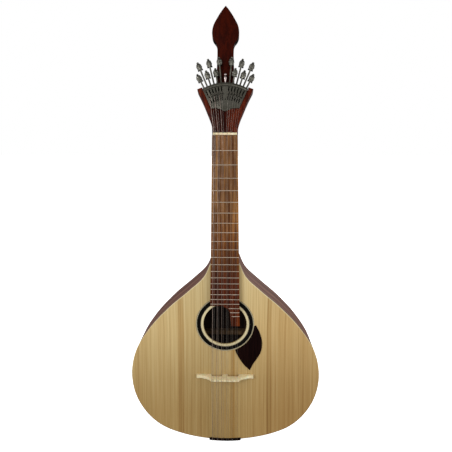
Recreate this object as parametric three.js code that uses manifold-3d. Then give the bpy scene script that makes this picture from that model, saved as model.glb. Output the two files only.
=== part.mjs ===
// Portuguese guitar of the Coimbra kind, with twelve strings in six pairs and a fan tuning machine.
// Millimetres, +Z up along the neck, the strings face -Y, and the treble side is at +X.
// While it is built, zero is in the plane of the soundboard's face, at the height of the nut.

import * as THREE from 'three';
import { mergeVertices } from 'three/addons/utils/BufferGeometryUtils.js';
import Module from 'manifold-3d';

const wasm = await Module();
wasm.setup();

// Clearances
const GAP = 0.3;                 // left between two pieces that touch
const OVERRUN = 6;               // how far a cutting shape reaches past what it cuts

// Strings
const SCALE_LENGTH = 470;        // nut to bridge, before the bridge is set back
const COURSES = 6;
const STRINGS_PER_COURSE = 2;
const STRINGS = COURSES * STRINGS_PER_COURSE;
const FRETS = 22;
const FRETS_PER_OCTAVE = 12;
const NUT_COURSE_PITCH = 7;
const NUT_PAIR_PITCH = 2.6;
const BRIDGE_COURSE_PITCH = 9.6;
const BRIDGE_PAIR_PITCH = 3.2;
const TAIL_COURSE_PITCH = 10;
const THICKEST_STRING_DIAMETER = 0.95;
// From the bass side, as shares of the thickest
const STRING_SHARES = [1, 0.42, 0.79, 0.36, 0.58, 0.295, 0.4, 0.4, 0.316, 0.316, 0.263, 0.263];
const STRING_SIDES = 6;

// Body
const BODY_LENGTH = 391;
const BODY_WIDTH = 383;
const BODY_DEPTH = 80;           // at the crown of the back
const BACK_RISE = 6;             // how far the back falls from its crown to its sides
const BACK_FACETS = 15;          // an odd count leaves one flat strip along the middle
const SOUNDBOARD_THICKNESS = 2.8;
const BACK_THICKNESS = 3;
const RIB_THICKNESS = 2.2;
const LINING_THICKNESS = 6;
const LINING_HEIGHT = 12;
const NECK_BLOCK_LENGTH = 42;
const TAIL_BLOCK_WIDTH = 64;
const TAIL_BLOCK_LENGTH = 22;
const BRACE_WIDTH = 9;
const TOP_BRACE_HEIGHT = 14;
const BACK_BRACE_HEIGHT = 13;
const OUTLINE_STEPS = 4;         // facets between two points of the outline

// The body's half outline: share of the half width, then share of the length down from the neck
const BODY_SHARES = [
  [0.145, 0], [0.212, 0.069], [0.364, 0.141], [0.572, 0.23], [0.785, 0.345], [0.943, 0.473],
  [1, 0.6215], [0.94, 0.767], [0.752, 0.895], [0.475, 0.964], [0, 1],
];
const TOP_BRACE_OFFSET = 12;     // from the soundhole's edge to the middle of the braces above and below it
// Where the back's braces lie, as shares of the body's length down from the neck
const BACK_BRACE_SHARES = [0.443, 0.72];

// Soundhole, whose upper edge the fingerboard just reaches, and its inlaid ring
const HOLE_RADIUS = 42.5;
const ROSETTE_RADIUS = 57.5;
const ROSETTE_THICKNESS = 1.2;
const ROUND_SIDES = 48;

// Leaf-shaped plate beside the hole
const PICKGUARD_THICKNESS = 1.2;
const PICKGUARD_WIDTH = 54;
const PICKGUARD_LEFT = 20;       // its inner edge, across from the middle line
const PICKGUARD_TOP_DROP = 1;    // its top tip, below the hole's centre
const PICKGUARD_TO_BRIDGE = 10;  // from its lower tip to the bridge
// Its outline: shares of its width and of its length, from the top tip down the outer side and back up
const PICKGUARD_SHARES = [
  [0.76, 0], [0.92, 0.19], [0.997, 0.4], [0.945, 0.6], [0.8, 0.75], [0.67, 0.87], [0.56, 1],
  [0.34, 0.88], [0.16, 0.73], [0.01, 0.54], [0.12, 0.25],
];
const PICKGUARD_TIPS = [0, 6];   // points of that list that are sharp

// Neck and fingerboard
const NECK_SET_DEGREES = 2.3;
const BOARD_NUT_WIDTH = 45.4;
const BOARD_OCTAVE_WIDTH = 53.6;
const BOARD_THICKNESS = 7.2;
const BOARD_OVERHANG = 3.85;     // past the last fret that crosses the whole board
const TONGUE_OVERHANG = 19.9;    // past the last fret of all, on the treble side's tongue
const TONGUE_INNER = 12.8;       // its bass-side corner at the end
const TONGUE_START = -4.7;       // where its curve leaves the board's end
// The curve between those two: shares of the way across and of the way down
const TONGUE_CURVE_SHARES = [
  [0, 0], [0.383, 0.098], [0.657, 0.2], [0.789, 0.315], [0.857, 0.51], [0.903, 0.72], [1, 1],
];
const TONGUE_FRET_START = 7.6;   // where the first of its frets starts; the last starts at its corner
const LAST_FULL_FRET = 19;
const FRET_WIDTH = 1.6;
const FRET_CROWN_WIDTH = 0.9;
const FRET_HEIGHT = 1;
const FRET_INSET = 0.4;
const NUT_WIDTH = 42;
const NUT_THICKNESS = 4.4;
const NUT_PROUD = 1.6;           // above the board
const HEAD_SETBACK = 1.2;        // from the back of the nut to the bend of the head
const NECK_DEPTH_AT_NUT = 14.5;
const NECK_DEPTH_AT_HEEL = 16.5;
const HEEL_LENGTH = 66;
const HEEL_CAP_RECESS = 3;       // its flat cap, in front of the crown of the back
const HEEL_SWEEP_EXCESS = 33;    // how far past the cap the heel's curve would run without it
const NECK_ROUNDNESS = 0.85;
const HEEL_ROUNDNESS = 1.25;
const HEEL_EASE = 1.9;
const NECK_SECTION_SIDES = 12;
const HEEL_SECTIONS = 9;

// Head, in its own frame: up from its bend behind the nut
const HEAD_TILT_DEGREES = 11.7;
const HEAD_THICKNESS = 24;
const HEAD_BASE_WIDTH = 45.6;
const WING_SPAN = 99.8;
const WING_DROP = 0.4;            // from the tuner tray's upper corner down to a wing's tip
const WING_TOP_MARGIN = 0.5;     // from that corner across to the inner end of a wing's upper edge
const WING_TOP_RISE = 3.3;
const WING_SHARES = [[0, 0], [0.022, 0.134], [0.118, 0.274], [0.373, 0.511], [0.653, 0.75], [1, 1]];
const STEM_BASE_WIDTH = 33.6;
const STEM_DROP = 10.8;          // its face, behind the head's face
const FINIAL_RISE = 55.2;        // from the tuner's arc up to the finial's foot
const FINIAL_LENGTH = 87.8;
const FINIAL_WIDTH = 48.8;
const FINIAL_SHARES = [
  [0.6, 0], [0.605, 0.1], [0.62, 0.175], [0.7, 0.24], [0.83, 0.285], [0.95, 0.345], [1, 0.42],
  [0.98, 0.52], [0.88, 0.62], [0.69, 0.72], [0.48, 0.82], [0.21, 0.93], [0, 1],
];
// The head's thickness along its length: share of its length, then share of its thickness
const HEAD_BACK_SHARES = [[0, 0.6], [0.13, 0.88], [0.26, 1], [0.8, 1], [1, 0.85]];

// Tuning machine, in the head's frame
const FAN_CENTRE_HEIGHT = 7;     // above the bend of the head
const FAN_FIRST_DEGREES = 5.2;
const FAN_STEP_DEGREES = 4.45;
const TRAY_FLOOR = 1;
const TRAY_WALL = 1.6;
const TRAY_TOP_MARGIN = 3.3;     // beyond the outermost screws at the arc
const TRAY_FOOT_MARGIN = 6.7;    // beyond the outermost screws' line at the foot
const TRAY_FOOT_DROP = 3.3;      // from the outermost screws' lower ends down to the foot's corners
const TRAY_POINT_DROP = 5.6;     // from those corners down to the foot's middle point
const TRAY_FOOT_SHARES = [[0, 0], [0.2, 0.35], [0.42, 0.8], [0.62, 1], [1, 0.95]];
const ARC_RADIUS = 80.5;
const ARC_BAR_WIDTH = 5.8;
const ARC_BAR_PROUD = 2.2;
const ARC_STEPS = 14;
const COVER_THICKNESS = 1.2;
const SLOT_FOOT = 2;             // from the pocket's inner wall to a slot's lower end
const SLOT_HEAD = 1.4;           // from a slot's upper end to the arc bar
const SLOT_WIDTH = 2.2;
const POST_HEIGHT = 18;
const POST_RADIUS = 3.2;
const POST_SHARES = [
  [0.75, 0], [0.75, 0.1], [0.35, 0.18], [0.62, 0.4], [0.95, 0.62], [0.7, 0.78], [0.5, 0.84],
  [0.85, 0.88], [0.85, 0.96], [0.4, 1],
];

// Tuning screws and the hooks that run on them
const SCREW_DEPTH = 4.7;         // the screws' axes, behind the head's face
const SCREW_DIAMETER = 2.2;
const SCREW_BOTTOM_RADIUS = 43.5;
const SCREW_SOCKET = 4;          // how far its lower end sits in the tray
const SHORT_KNOB_REACH = 20.8;   // from the arc to the middle of the nearer knobs
const KNOB_STAGGER = 18.7;       // and from those to the middle of the farther ones
const COLLAR_DIAMETER = 3.4;
const COLLAR_LENGTH = 1.4;
const KNOB_LENGTH = 13.5;
const KNOB_WIDTH = 9.8;
const KNOB_THICKNESS = 4.4;
const KNOB_NUB_LENGTH = 2;
const KNOB_NUB_WIDTH = 2.6;
const KNOB_SHARES = [
  [0.3, 0], [0.72, 0.09], [0.96, 0.27], [1, 0.5], [0.9, 0.72], [0.6, 0.9], [0.26, 1],
];
const ROD_SIDES = 8;
const KNOB_SIDES = 10;
const HOOK_PLACE_SHARE = 0.483;  // where the hooks are at rest, from the lower to the upper end of the slots
const SLIDER_WALL = 0.4;
const SLIDER_LENGTH = 6;
const SLIDER_HEIGHT = 6.9;
const SLIDER_CLEARANCE = 1.3;    // between a slider and the tray's floor
const HOOK_WIDTH = 1.6;
const HOOK_STEM_LENGTH = 2.6;
const HOOK_HEIGHT = 3.6;         // above the cover
const HOOK_LIP_LENGTH = 2.4;
const HOOK_LIP_THICKNESS = 1.2;
const STRING_LIFT = 1.1;         // a string's middle above the cover at its hook

// Bridge
const BRIDGE_SETBACK = 2.5;
const BRIDGE_LENGTH = 116;
const BRIDGE_HEIGHT = 21;
const BRIDGE_FOOT_THICKNESS = 6.5;
const BRIDGE_TOP_THICKNESS = 3;
const BRIDGE_ARCH_HEIGHT = 4.6;
const BRIDGE_CENTRE_FOOT = 10.2;
const BRIDGE_ARCH_END = 27.8;    // across from the middle line
const BRIDGE_ARCH_SHOULDER = 2;
// The upper edge from the tip inwards: share of the half length, then share of the height
const BRIDGE_SHARES = [
  [1, 0.1], [0.985, 0.3], [0.9, 0.27], [0.79, 0.31], [0.73, 0.42], [0.66, 0.45], [0.6, 0.6],
  [0.54, 0.68], [0.5, 0.86], [0.45, 1],
];

// Tail
const SADDLE_WIDTH = 66.7;
const SADDLE_INSET = 3.6;
const SADDLE_PROUD = 2.4;        // above the soundboard
const SADDLE_APRON_THICKNESS = 1.8;
const SADDLE_APRON_DROP = 8;     // how far it reaches back over the end
const TAILPIECE_WIDTH = 62;
const TAILPIECE_FRONT = 14;      // behind the soundboard's face
const TAILPIECE_HEIGHT = 30;
const TAILPIECE_THICKNESS = 1.5;
const TAIL_PIN_DIAMETER = 2;
const TAIL_PIN_LENGTH = 4.5;
const TAIL_PIN_SETBACK = 7;      // from the tailpiece's front edge

// Where the hanger's yoke holds the head, in the head's frame
const HANGER_HEIGHT = 26;
const HANGER_DEPTH = 10;

// Worked out from the sizes above
const HALF = 1 / 2;
const OCTAVE_LENGTH = SCALE_LENGTH * HALF;
const BODY_HALF_WIDTH = BODY_WIDTH * HALF;
const BODY_TOP = -OCTAVE_LENGTH;
const BODY_END = BODY_TOP - BODY_LENGTH;
const fretDrop = (number) => SCALE_LENGTH * (1 - 2 ** (-number / FRETS_PER_OCTAVE));
const BOARD_LENGTH = fretDrop(LAST_FULL_FRET) + BOARD_OVERHANG;
const HOLE_HEIGHT = -BOARD_LENGTH - HOLE_RADIUS;
const NECK_SET = THREE.MathUtils.degToRad(NECK_SET_DEGREES);
const HEAD_TILT = THREE.MathUtils.degToRad(HEAD_TILT_DEGREES);
const BRIDGE_LEVEL = -SCALE_LENGTH - BRIDGE_SETBACK;
const NECK_TOP = OCTAVE_LENGTH + NUT_THICKNESS + HEAD_SETBACK;
const FAR = BODY_LENGTH + BODY_WIDTH;
const HEEL_CAP_DEPTH = BODY_DEPTH - HEEL_CAP_RECESS;
const HEEL_SWEEP_DEPTH = HEEL_CAP_DEPTH + HEEL_SWEEP_EXCESS;
const ARC_INNER_RADIUS = ARC_RADIUS - ARC_BAR_WIDTH;
const FINIAL_START = FAN_CENTRE_HEIGHT + ARC_RADIUS + FINIAL_RISE;
const HEAD_LENGTH = FINIAL_START + FINIAL_LENGTH;
const SHORT_KNOB_RADIUS = ARC_RADIUS + SHORT_KNOB_REACH;
const LONG_KNOB_RADIUS = SHORT_KNOB_RADIUS + KNOB_STAGGER;
const POCKET_INNER_RADIUS = SCREW_BOTTOM_RADIUS + SCREW_SOCKET;
const SLOT_INNER_RADIUS = POCKET_INNER_RADIUS + SLOT_FOOT;
const SLOT_OUTER_RADIUS = ARC_INNER_RADIUS - SLOT_HEAD;
const HOOK_RADIUS = SLOT_INNER_RADIUS + (SLOT_OUTER_RADIUS - SLOT_INNER_RADIUS) * HOOK_PLACE_SHARE;
const SLIDER_WIDTH = SCREW_DIAMETER + (GAP + SLIDER_WALL) * 2;
const TRAY_DEPTH = GAP + SLIDER_HEIGHT + SLIDER_CLEARANCE + TRAY_FLOOR;
const FAN_OUTER = THREE.MathUtils.degToRad(FAN_FIRST_DEGREES + FAN_STEP_DEGREES * (STRINGS * HALF - 1));
const TRAY_TOP_HALF_WIDTH = ARC_RADIUS * Math.sin(FAN_OUTER) + TRAY_TOP_MARGIN;
const TRAY_TOP_HEIGHT = FAN_CENTRE_HEIGHT + Math.sqrt(ARC_RADIUS ** 2 - TRAY_TOP_HALF_WIDTH ** 2);
const TRAY_FOOT_HEIGHT = FAN_CENTRE_HEIGHT + SCREW_BOTTOM_RADIUS * Math.cos(FAN_OUTER) - TRAY_FOOT_DROP;
const TRAY_FOOT_HALF_WIDTH = (TRAY_FOOT_HEIGHT - FAN_CENTRE_HEIGHT) * Math.tan(FAN_OUTER) + TRAY_FOOT_MARGIN;
const TRAY_POINT_HEIGHT = TRAY_FOOT_HEIGHT - TRAY_POINT_DROP;
const WING_HEIGHT = TRAY_TOP_HEIGHT - WING_DROP;
const WING_TOP_INNER = TRAY_TOP_HALF_WIDTH + WING_TOP_MARGIN;

// Looks
function look(color, roughness, metalness = 0) {
  return new THREE.MeshStandardMaterial({ color, roughness, metalness });
}
const SPRUCE = look(0xd8bb84, 0.5);
const ROSEWOOD = look(0x6b4a35, 0.45);
const CEDAR = look(0xb98a5c, 0.7);
const NECK_WOOD = look(0x5a2412, 0.4);
const BOARD_WOOD = look(0x6a3a22, 0.5);
const EBONY = look(0x150d0b, 0.35);
const BONE = look(0xe8dcc0, 0.4);
const INLAY = look(0xd9c9a0, 0.5);
const PEWTER = look(0x6d6a63, 0.4, 1);
const STEEL = look(0xb8b6b0, 0.3, 1);
const BRONZE = look(0xb08a50, 0.35, 1);

// Solids
function solid(geometry) {
  const bare = geometry.clone();
  bare.deleteAttribute('normal');
  bare.deleteAttribute('uv');
  const merged = mergeVertices(bare);
  const triVerts = new Uint32Array(merged.index.array);
  const vertProperties = new Float32Array(merged.attributes.position.array);
  return new wasm.Manifold(new wasm.Mesh({ numProp: 3, vertProperties, triVerts }));
}

function named(name, body, material) {
  const data = body.getMesh();
  const geometry = new THREE.BufferGeometry();
  geometry.setAttribute('position', new THREE.BufferAttribute(data.vertProperties.slice(), 3));
  geometry.setIndex(new THREE.BufferAttribute(data.triVerts.slice(), 1));
  geometry.computeVertexNormals();
  const mesh = new THREE.Mesh(geometry, material);
  mesh.name = name;
  return mesh;
}

function moved(body, matrix) {
  return body.transform(matrix.toArray());
}

function flatShape(points, holes = []) {
  const shape = new THREE.Shape(points.map(([a, b]) => new THREE.Vector2(a, b)));
  for (const hole of holes) {
    shape.holes.push(new THREE.Path(hole.map(([a, b]) => new THREE.Vector2(a, b))));
  }
  return shape;
}

function extruded(points, depth, holes) {
  return new THREE.ExtrudeGeometry(flatShape(points, holes), { depth, bevelEnabled: false, steps: 1 });
}

// A flat outline in X and Z, thick along Y
function upright(points, front, back, holes) {
  const geometry = extruded(points, back - front, holes);
  geometry.rotateX(Math.PI * HALF);
  geometry.translate(0, back, 0);
  return solid(geometry);
}

// A side outline in Y and Z, thick along X
function sideways(points, left, right) {
  const geometry = extruded(points, right - left);
  const alongX = new THREE.Matrix4().makeBasis(
    new THREE.Vector3(0, 1, 0),
    new THREE.Vector3(0, 0, 1),
    new THREE.Vector3(1, 0, 0),
  );
  geometry.applyMatrix4(alongX);
  geometry.translate(left, 0, 0);
  return solid(geometry);
}

// An end outline in X and Y, thick along Z
function endways(points, bottom, top) {
  const geometry = extruded(points, top - bottom);
  geometry.translate(0, 0, bottom);
  return solid(geometry);
}

function block(left, right, front, back, bottom, top) {
  const geometry = new THREE.BoxGeometry(right - left, back - front, top - bottom);
  geometry.translate((left + right) * HALF, (front + back) * HALF, (bottom + top) * HALF);
  return solid(geometry);
}

function circle(radius, height, sides = ROUND_SIDES) {
  const points = [];
  for (let i = 0; i < sides; i += 1) {
    const angle = (2 * Math.PI * i) / sides;
    points.push([radius * Math.cos(angle), height + radius * Math.sin(angle)]);
  }
  return points;
}

// A round bar along Z, whose flats keep outside the given diameter when it is a cutting shape
function rod(diameter, bottom, top, cutting = false) {
  const flat = cutting ? Math.cos(Math.PI / ROD_SIDES) : 1;
  const geometry = new THREE.CylinderGeometry(
    (diameter * HALF) / flat, (diameter * HALF) / flat, top - bottom, ROD_SIDES,
  );
  geometry.rotateX(Math.PI * HALF);
  geometry.translate(0, 0, (bottom + top) * HALF);
  return solid(geometry);
}

// A turned piece along Z, flattened from front to back
function turned(shares, radius, thicknessRadius, bottom, height, sides) {
  const points = [new THREE.Vector2(0, 0)];
  for (const [across, along] of shares) {
    points.push(new THREE.Vector2(across * radius, along * height));
  }
  points.push(new THREE.Vector2(0, height));
  const geometry = new THREE.LatheGeometry(points, sides);
  geometry.rotateX(Math.PI * HALF);
  geometry.scale(1, thicknessRadius / radius, 1);
  geometry.translate(0, 0, bottom);
  return solid(geometry);
}

// A solid skin over rings that all have the same count of points
function lofted(rings) {
  const positions = rings.flat().flatMap((point) => [point.x, point.y, point.z]);
  const count = rings[0].length;
  const index = [];
  for (let ring = 0; ring + 1 < rings.length; ring += 1) {
    for (let i = 0; i < count; i += 1) {
      const next = (i + 1) % count;
      const low = ring * count;
      const high = low + count;
      index.push(low + i, low + next, high + next);
      index.push(low + i, high + next, high + i);
    }
  }
  const last = (rings.length - 1) * count;
  for (let i = 1; i + 1 < count; i += 1) {
    index.push(0, i + 1, i);
    index.push(last, last + i, last + i + 1);
  }
  const geometry = new THREE.BufferGeometry();
  geometry.setAttribute('position', new THREE.Float32BufferAttribute(positions, 3));
  geometry.setIndex(index);
  return solid(geometry);
}

// Body outline
const bodyCurve = (() => {
  const treble = BODY_SHARES.map(([across, down]) => (
    new THREE.Vector3(across * BODY_HALF_WIDTH, BODY_TOP - down * BODY_LENGTH, 0)
  ));
  const bass = treble.slice(0, -1).reverse().map((point) => new THREE.Vector3(-point.x, point.y, 0));
  return new THREE.CatmullRomCurve3([...treble, ...bass], false, 'centripetal');
})();

// The outline from the treble side round the tail to the bass side, moved inwards
function bodyOutline(inset) {
  const steps = (BODY_SHARES.length - 1) * 2 * OUTLINE_STEPS;
  const points = [];
  for (let i = 0; i <= steps; i += 1) {
    const point = bodyCurve.getPoint(i / steps);
    const tangent = bodyCurve.getTangent(i / steps);
    points.push([point.x + tangent.y * inset, point.y - tangent.x * inset]);
  }
  return points;
}

function bodyBand(outer, inner, front, back) {
  const points = [...bodyOutline(outer), ...bodyOutline(inner).reverse()];
  return upright(points, front, back);
}

// Everything in front of a surface that lies the given depth inside the arched back
function beforeBack(inset) {
  const points = [[FAR, -FAR], [-FAR, -FAR]];
  points.push([-FAR, BODY_DEPTH - inset - BACK_RISE]);
  for (let i = 0; i <= BACK_FACETS; i += 1) {
    const share = (2 * i) / BACK_FACETS - 1;
    points.push([share * BODY_HALF_WIDTH, BODY_DEPTH - inset - BACK_RISE * share * share]);
  }
  points.push([FAR, BODY_DEPTH - inset - BACK_RISE]);
  return endways(points, BODY_END - FAR, BODY_TOP + FAR);
}

const frontOfRibs = SOUNDBOARD_THICKNESS + GAP;
const insideBack = beforeBack(BACK_THICKNESS + GAP);
const belowNeck = block(-FAR, FAR, -FAR, FAR, -FAR * 2, BODY_TOP - GAP);
const trebleSide = block(GAP * HALF, FAR, -FAR, FAR, -FAR * 2, FAR);
const bassSide = block(-FAR, -GAP * HALF, -FAR, FAR, -FAR * 2, FAR);

function makeSoundboard() {
  const hole = circle(HOLE_RADIUS, HOLE_HEIGHT);
  const plate = upright(bodyOutline(0), 0, SOUNDBOARD_THICKNESS, [hole]);
  const seat = upright(circle(ROSETTE_RADIUS + GAP, HOLE_HEIGHT), -OVERRUN, ROSETTE_THICKNESS + GAP);
  return plate.subtract(seat);
}

function makeRosette() {
  return upright(circle(ROSETTE_RADIUS, HOLE_HEIGHT), 0, ROSETTE_THICKNESS, [circle(HOLE_RADIUS, HOLE_HEIGHT)]);
}

function makeBack() {
  const plate = upright(bodyOutline(0), BODY_DEPTH * HALF, BODY_DEPTH + OVERRUN);
  return plate.intersect(beforeBack(0)).subtract(beforeBack(BACK_THICKNESS));
}

// A side band, with the short return that closes the body's end behind the heel
function makeRib(side) {
  const [[endHalfWidth]] = bodyOutline(0);
  const ending = block(
    -endHalfWidth, endHalfWidth, frontOfRibs, BODY_DEPTH, BODY_TOP - GAP - RIB_THICKNESS, BODY_TOP,
  );
  const band = bodyBand(0, RIB_THICKNESS, frontOfRibs, BODY_DEPTH).add(ending);
  return band.intersect(insideBack).intersect(belowNeck).intersect(side);
}

const insideRibs = upright(bodyOutline(RIB_THICKNESS + GAP), frontOfRibs, BODY_DEPTH).intersect(insideBack);
const insideLinings = upright(
  bodyOutline(RIB_THICKNESS + LINING_THICKNESS + GAP * 2), frontOfRibs, BODY_DEPTH,
).intersect(insideBack);

function makeNeckBlock() {
  const blank = block(
    -FAR, FAR, 0, FAR, BODY_TOP - NECK_BLOCK_LENGTH, BODY_TOP - GAP * 2 - RIB_THICKNESS,
  );
  return blank.intersect(insideRibs);
}

function makeTailBlock() {
  const half = TAIL_BLOCK_WIDTH * HALF;
  const blank = block(-half, half, 0, FAR, BODY_END - OVERRUN, BODY_END + TAIL_BLOCK_LENGTH);
  return blank.intersect(insideRibs);
}

const besideBlocks = (() => {
  const half = TAIL_BLOCK_WIDTH * HALF + GAP;
  const space = block(-FAR, FAR, -FAR, FAR, BODY_END - OVERRUN, BODY_TOP - NECK_BLOCK_LENGTH - GAP);
  return space.subtract(block(-half, half, -FAR, FAR, BODY_END - FAR, HOLE_HEIGHT));
})();

function makeLining(side, atBack) {
  const inner = RIB_THICKNESS + GAP + LINING_THICKNESS;
  const ring = bodyBand(RIB_THICKNESS + GAP, inner, frontOfRibs, BODY_DEPTH);
  const strip = ring.intersect(besideBlocks).intersect(side).intersect(insideBack);
  if (atBack) {
    return strip.subtract(beforeBack(BACK_THICKNESS + GAP + LINING_HEIGHT));
  }
  return strip.intersect(block(-FAR, FAR, 0, frontOfRibs + LINING_HEIGHT, -FAR * 2, 0));
}

function makeTopBrace(above) {
  const middle = HOLE_HEIGHT + (above ? 1 : -1) * (HOLE_RADIUS + TOP_BRACE_OFFSET);
  const blank = block(
    -FAR, FAR, 0, frontOfRibs + TOP_BRACE_HEIGHT, middle - BRACE_WIDTH * HALF, middle + BRACE_WIDTH * HALF,
  );
  return blank.intersect(insideLinings);
}

function makeBackBrace(share) {
  const middle = BODY_TOP - share * BODY_LENGTH;
  const front = BODY_DEPTH - BACK_THICKNESS - GAP - BACK_BRACE_HEIGHT;
  const blank = block(
    -FAR, FAR, front, FAR, middle - BRACE_WIDTH * HALF, middle + BRACE_WIDTH * HALF,
  );
  return blank.intersect(insideLinings);
}

// Frames of the neck and the head: each has its own Z up along the wood and its face at Y zero
const guitar = new THREE.Group();
const neckFrame = new THREE.Group();
neckFrame.position.set(0, 0, BODY_TOP);
neckFrame.rotation.x = -NECK_SET;
const headFrame = new THREE.Group();
headFrame.position.set(0, 0, NECK_TOP);
headFrame.rotation.x = -HEAD_TILT;
guitar.add(neckFrame);
neckFrame.add(headFrame);
guitar.updateMatrixWorld(true);

function boardHalfWidth(height) {
  const widening = (BOARD_OCTAVE_WIDTH - BOARD_NUT_WIDTH) / OCTAVE_LENGTH;
  return (BOARD_NUT_WIDTH + widening * (OCTAVE_LENGTH - height)) * HALF;
}

// Fingerboard with its tongue and frets, in the neck's frame
function boardOutline() {
  const mainEnd = OCTAVE_LENGTH - BOARD_LENGTH;
  const tongueEnd = OCTAVE_LENGTH - fretDrop(FRETS) - TONGUE_OVERHANG;
  const points = [
    [-boardHalfWidth(OCTAVE_LENGTH), OCTAVE_LENGTH],
    [-boardHalfWidth(mainEnd), mainEnd],
  ];
  for (const [across, down] of TONGUE_CURVE_SHARES) {
    const x = TONGUE_START + across * (TONGUE_INNER - TONGUE_START);
    points.push([x, mainEnd - down * (mainEnd - tongueEnd)]);
  }
  points.push([boardHalfWidth(tongueEnd), tongueEnd]);
  points.push([boardHalfWidth(OCTAVE_LENGTH), OCTAVE_LENGTH]);
  return points;
}

function tongueFretStart(number) {
  const share = (number - LAST_FULL_FRET - 1) / Math.max(1, FRETS - LAST_FULL_FRET - 1);
  return TONGUE_FRET_START + (TONGUE_INNER - TONGUE_FRET_START) * share;
}

function makeFret(number) {
  const height = OCTAVE_LENGTH - fretDrop(number);
  const half = boardHalfWidth(height) - FRET_INSET;
  const left = number > LAST_FULL_FRET ? tongueFretStart(number) : -half;
  const profile = [
    [-BOARD_THICKNESS + FRET_HEIGHT, height - FRET_CROWN_WIDTH * HALF],
    [-BOARD_THICKNESS, height - FRET_WIDTH * HALF],
    [-BOARD_THICKNESS - FRET_HEIGHT, height - FRET_CROWN_WIDTH * HALF],
    [-BOARD_THICKNESS - FRET_HEIGHT, height + FRET_CROWN_WIDTH * HALF],
    [-BOARD_THICKNESS, height + FRET_WIDTH * HALF],
    [-BOARD_THICKNESS + FRET_HEIGHT, height + FRET_CROWN_WIDTH * HALF],
  ];
  return sideways(profile, left, half);
}

function makeFingerboard() {
  const wood = upright(boardOutline(), -BOARD_THICKNESS, BODY_DEPTH);
  const behindBoard = block(-FAR, FAR, -GAP, FAR, 0, FAR);
  let board = moved(wood.subtract(behindBoard), neckFrame.matrix);
  board = board.subtract(block(-FAR, FAR, -GAP, FAR, -FAR * 2, BODY_TOP + OVERRUN));
  for (let number = 1; number <= FRETS; number += 1) {
    board = board.add(moved(makeFret(number), neckFrame.matrix));
  }
  return board;
}

function makeNut() {
  const half = NUT_WIDTH * HALF;
  const profile = [
    [-GAP, OCTAVE_LENGTH + GAP],
    [-BOARD_THICKNESS - NUT_PROUD, OCTAVE_LENGTH + GAP],
    [-BOARD_THICKNESS - NUT_PROUD, OCTAVE_LENGTH + NUT_THICKNESS * HALF],
    [-BOARD_THICKNESS, OCTAVE_LENGTH + NUT_THICKNESS],
    [-GAP, OCTAVE_LENGTH + NUT_THICKNESS],
  ];
  return sideways(profile, -half, half);
}

// Neck, heel and head in one piece of wood
function neckSection(height) {
  const half = boardHalfWidth(height);
  const intoHeel = Math.max(0, 1 - Math.max(0, height) / HEEL_LENGTH);
  const slope = (NECK_DEPTH_AT_HEEL - NECK_DEPTH_AT_NUT) / OCTAVE_LENGTH;
  const shaftDepth = NECK_DEPTH_AT_HEEL - slope * height;
  const depth = shaftDepth + (HEEL_SWEEP_DEPTH - shaftDepth) * intoHeel ** HEEL_EASE;
  const power = NECK_ROUNDNESS + (HEEL_ROUNDNESS - NECK_ROUNDNESS) * intoHeel;
  const ring = [];
  for (let i = 0; i <= NECK_SECTION_SIDES; i += 1) {
    const angle = (Math.PI * i) / NECK_SECTION_SIDES;
    const x = half * Math.sign(Math.cos(angle)) * Math.abs(Math.cos(angle)) ** power;
    const y = depth * Math.sin(angle) ** power;
    ring.push(new THREE.Vector3(x, i === NECK_SECTION_SIDES ? 0 : y, height));
  }
  return ring;
}

function makeNeckShaft() {
  const rings = [neckSection(-OVERRUN)];
  for (let i = 0; i <= HEEL_SECTIONS; i += 1) {
    rings.push(neckSection((HEEL_LENGTH * i) / HEEL_SECTIONS));
  }
  rings.push(neckSection(NECK_TOP));
  const shaft = moved(lofted(rings), neckFrame.matrix);
  return shaft.intersect(block(-FAR, FAR, -FAR, HEEL_CAP_DEPTH, BODY_TOP, FAR));
}

function mirrored(points) {
  return points.map(([x, z]) => [-x, z]).reverse();
}

function smooth(points, steps) {
  const curve = new THREE.CatmullRomCurve3(
    points.map(([a, b]) => new THREE.Vector3(a, b, 0)), false, 'centripetal',
  );
  return curve.getPoints(steps).map((point) => [point.x, point.y]);
}

function arcPoints(radius, fromX, toX, steps) {
  const from = Math.asin(fromX / radius);
  const to = Math.asin(toX / radius);
  const points = [];
  for (let i = 0; i <= steps; i += 1) {
    const angle = from + ((to - from) * i) / steps;
    points.push([radius * Math.sin(angle), FAN_CENTRE_HEIGHT + radius * Math.cos(angle)]);
  }
  return points;
}

function headOutline() {
  const base = HEAD_BASE_WIDTH * HALF;
  const wing = WING_SPAN * HALF;
  const flare = smooth(
    WING_SHARES.map(([across, up]) => [base + (wing - base) * across, WING_HEIGHT * up]),
    (WING_SHARES.length - 1) * 2,
  );
  const stem = STEM_BASE_WIDTH * HALF;
  const behindArc = ARC_RADIUS - ARC_BAR_WIDTH * HALF;
  const crest = arcPoints(behindArc, TRAY_TOP_HALF_WIDTH, stem, ARC_STEPS * HALF);
  const finial = smooth(
    FINIAL_SHARES.map(([across, up]) => [FINIAL_WIDTH * HALF * across, FINIAL_START + FINIAL_LENGTH * up]),
    (FINIAL_SHARES.length - 1) * 2,
  );
  const treble = [[base, -GAP], ...flare, [WING_TOP_INNER, WING_HEIGHT + WING_TOP_RISE], ...crest, ...finial];
  const bass = mirrored(treble).slice(1);
  return [...treble, ...bass];
}

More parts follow.
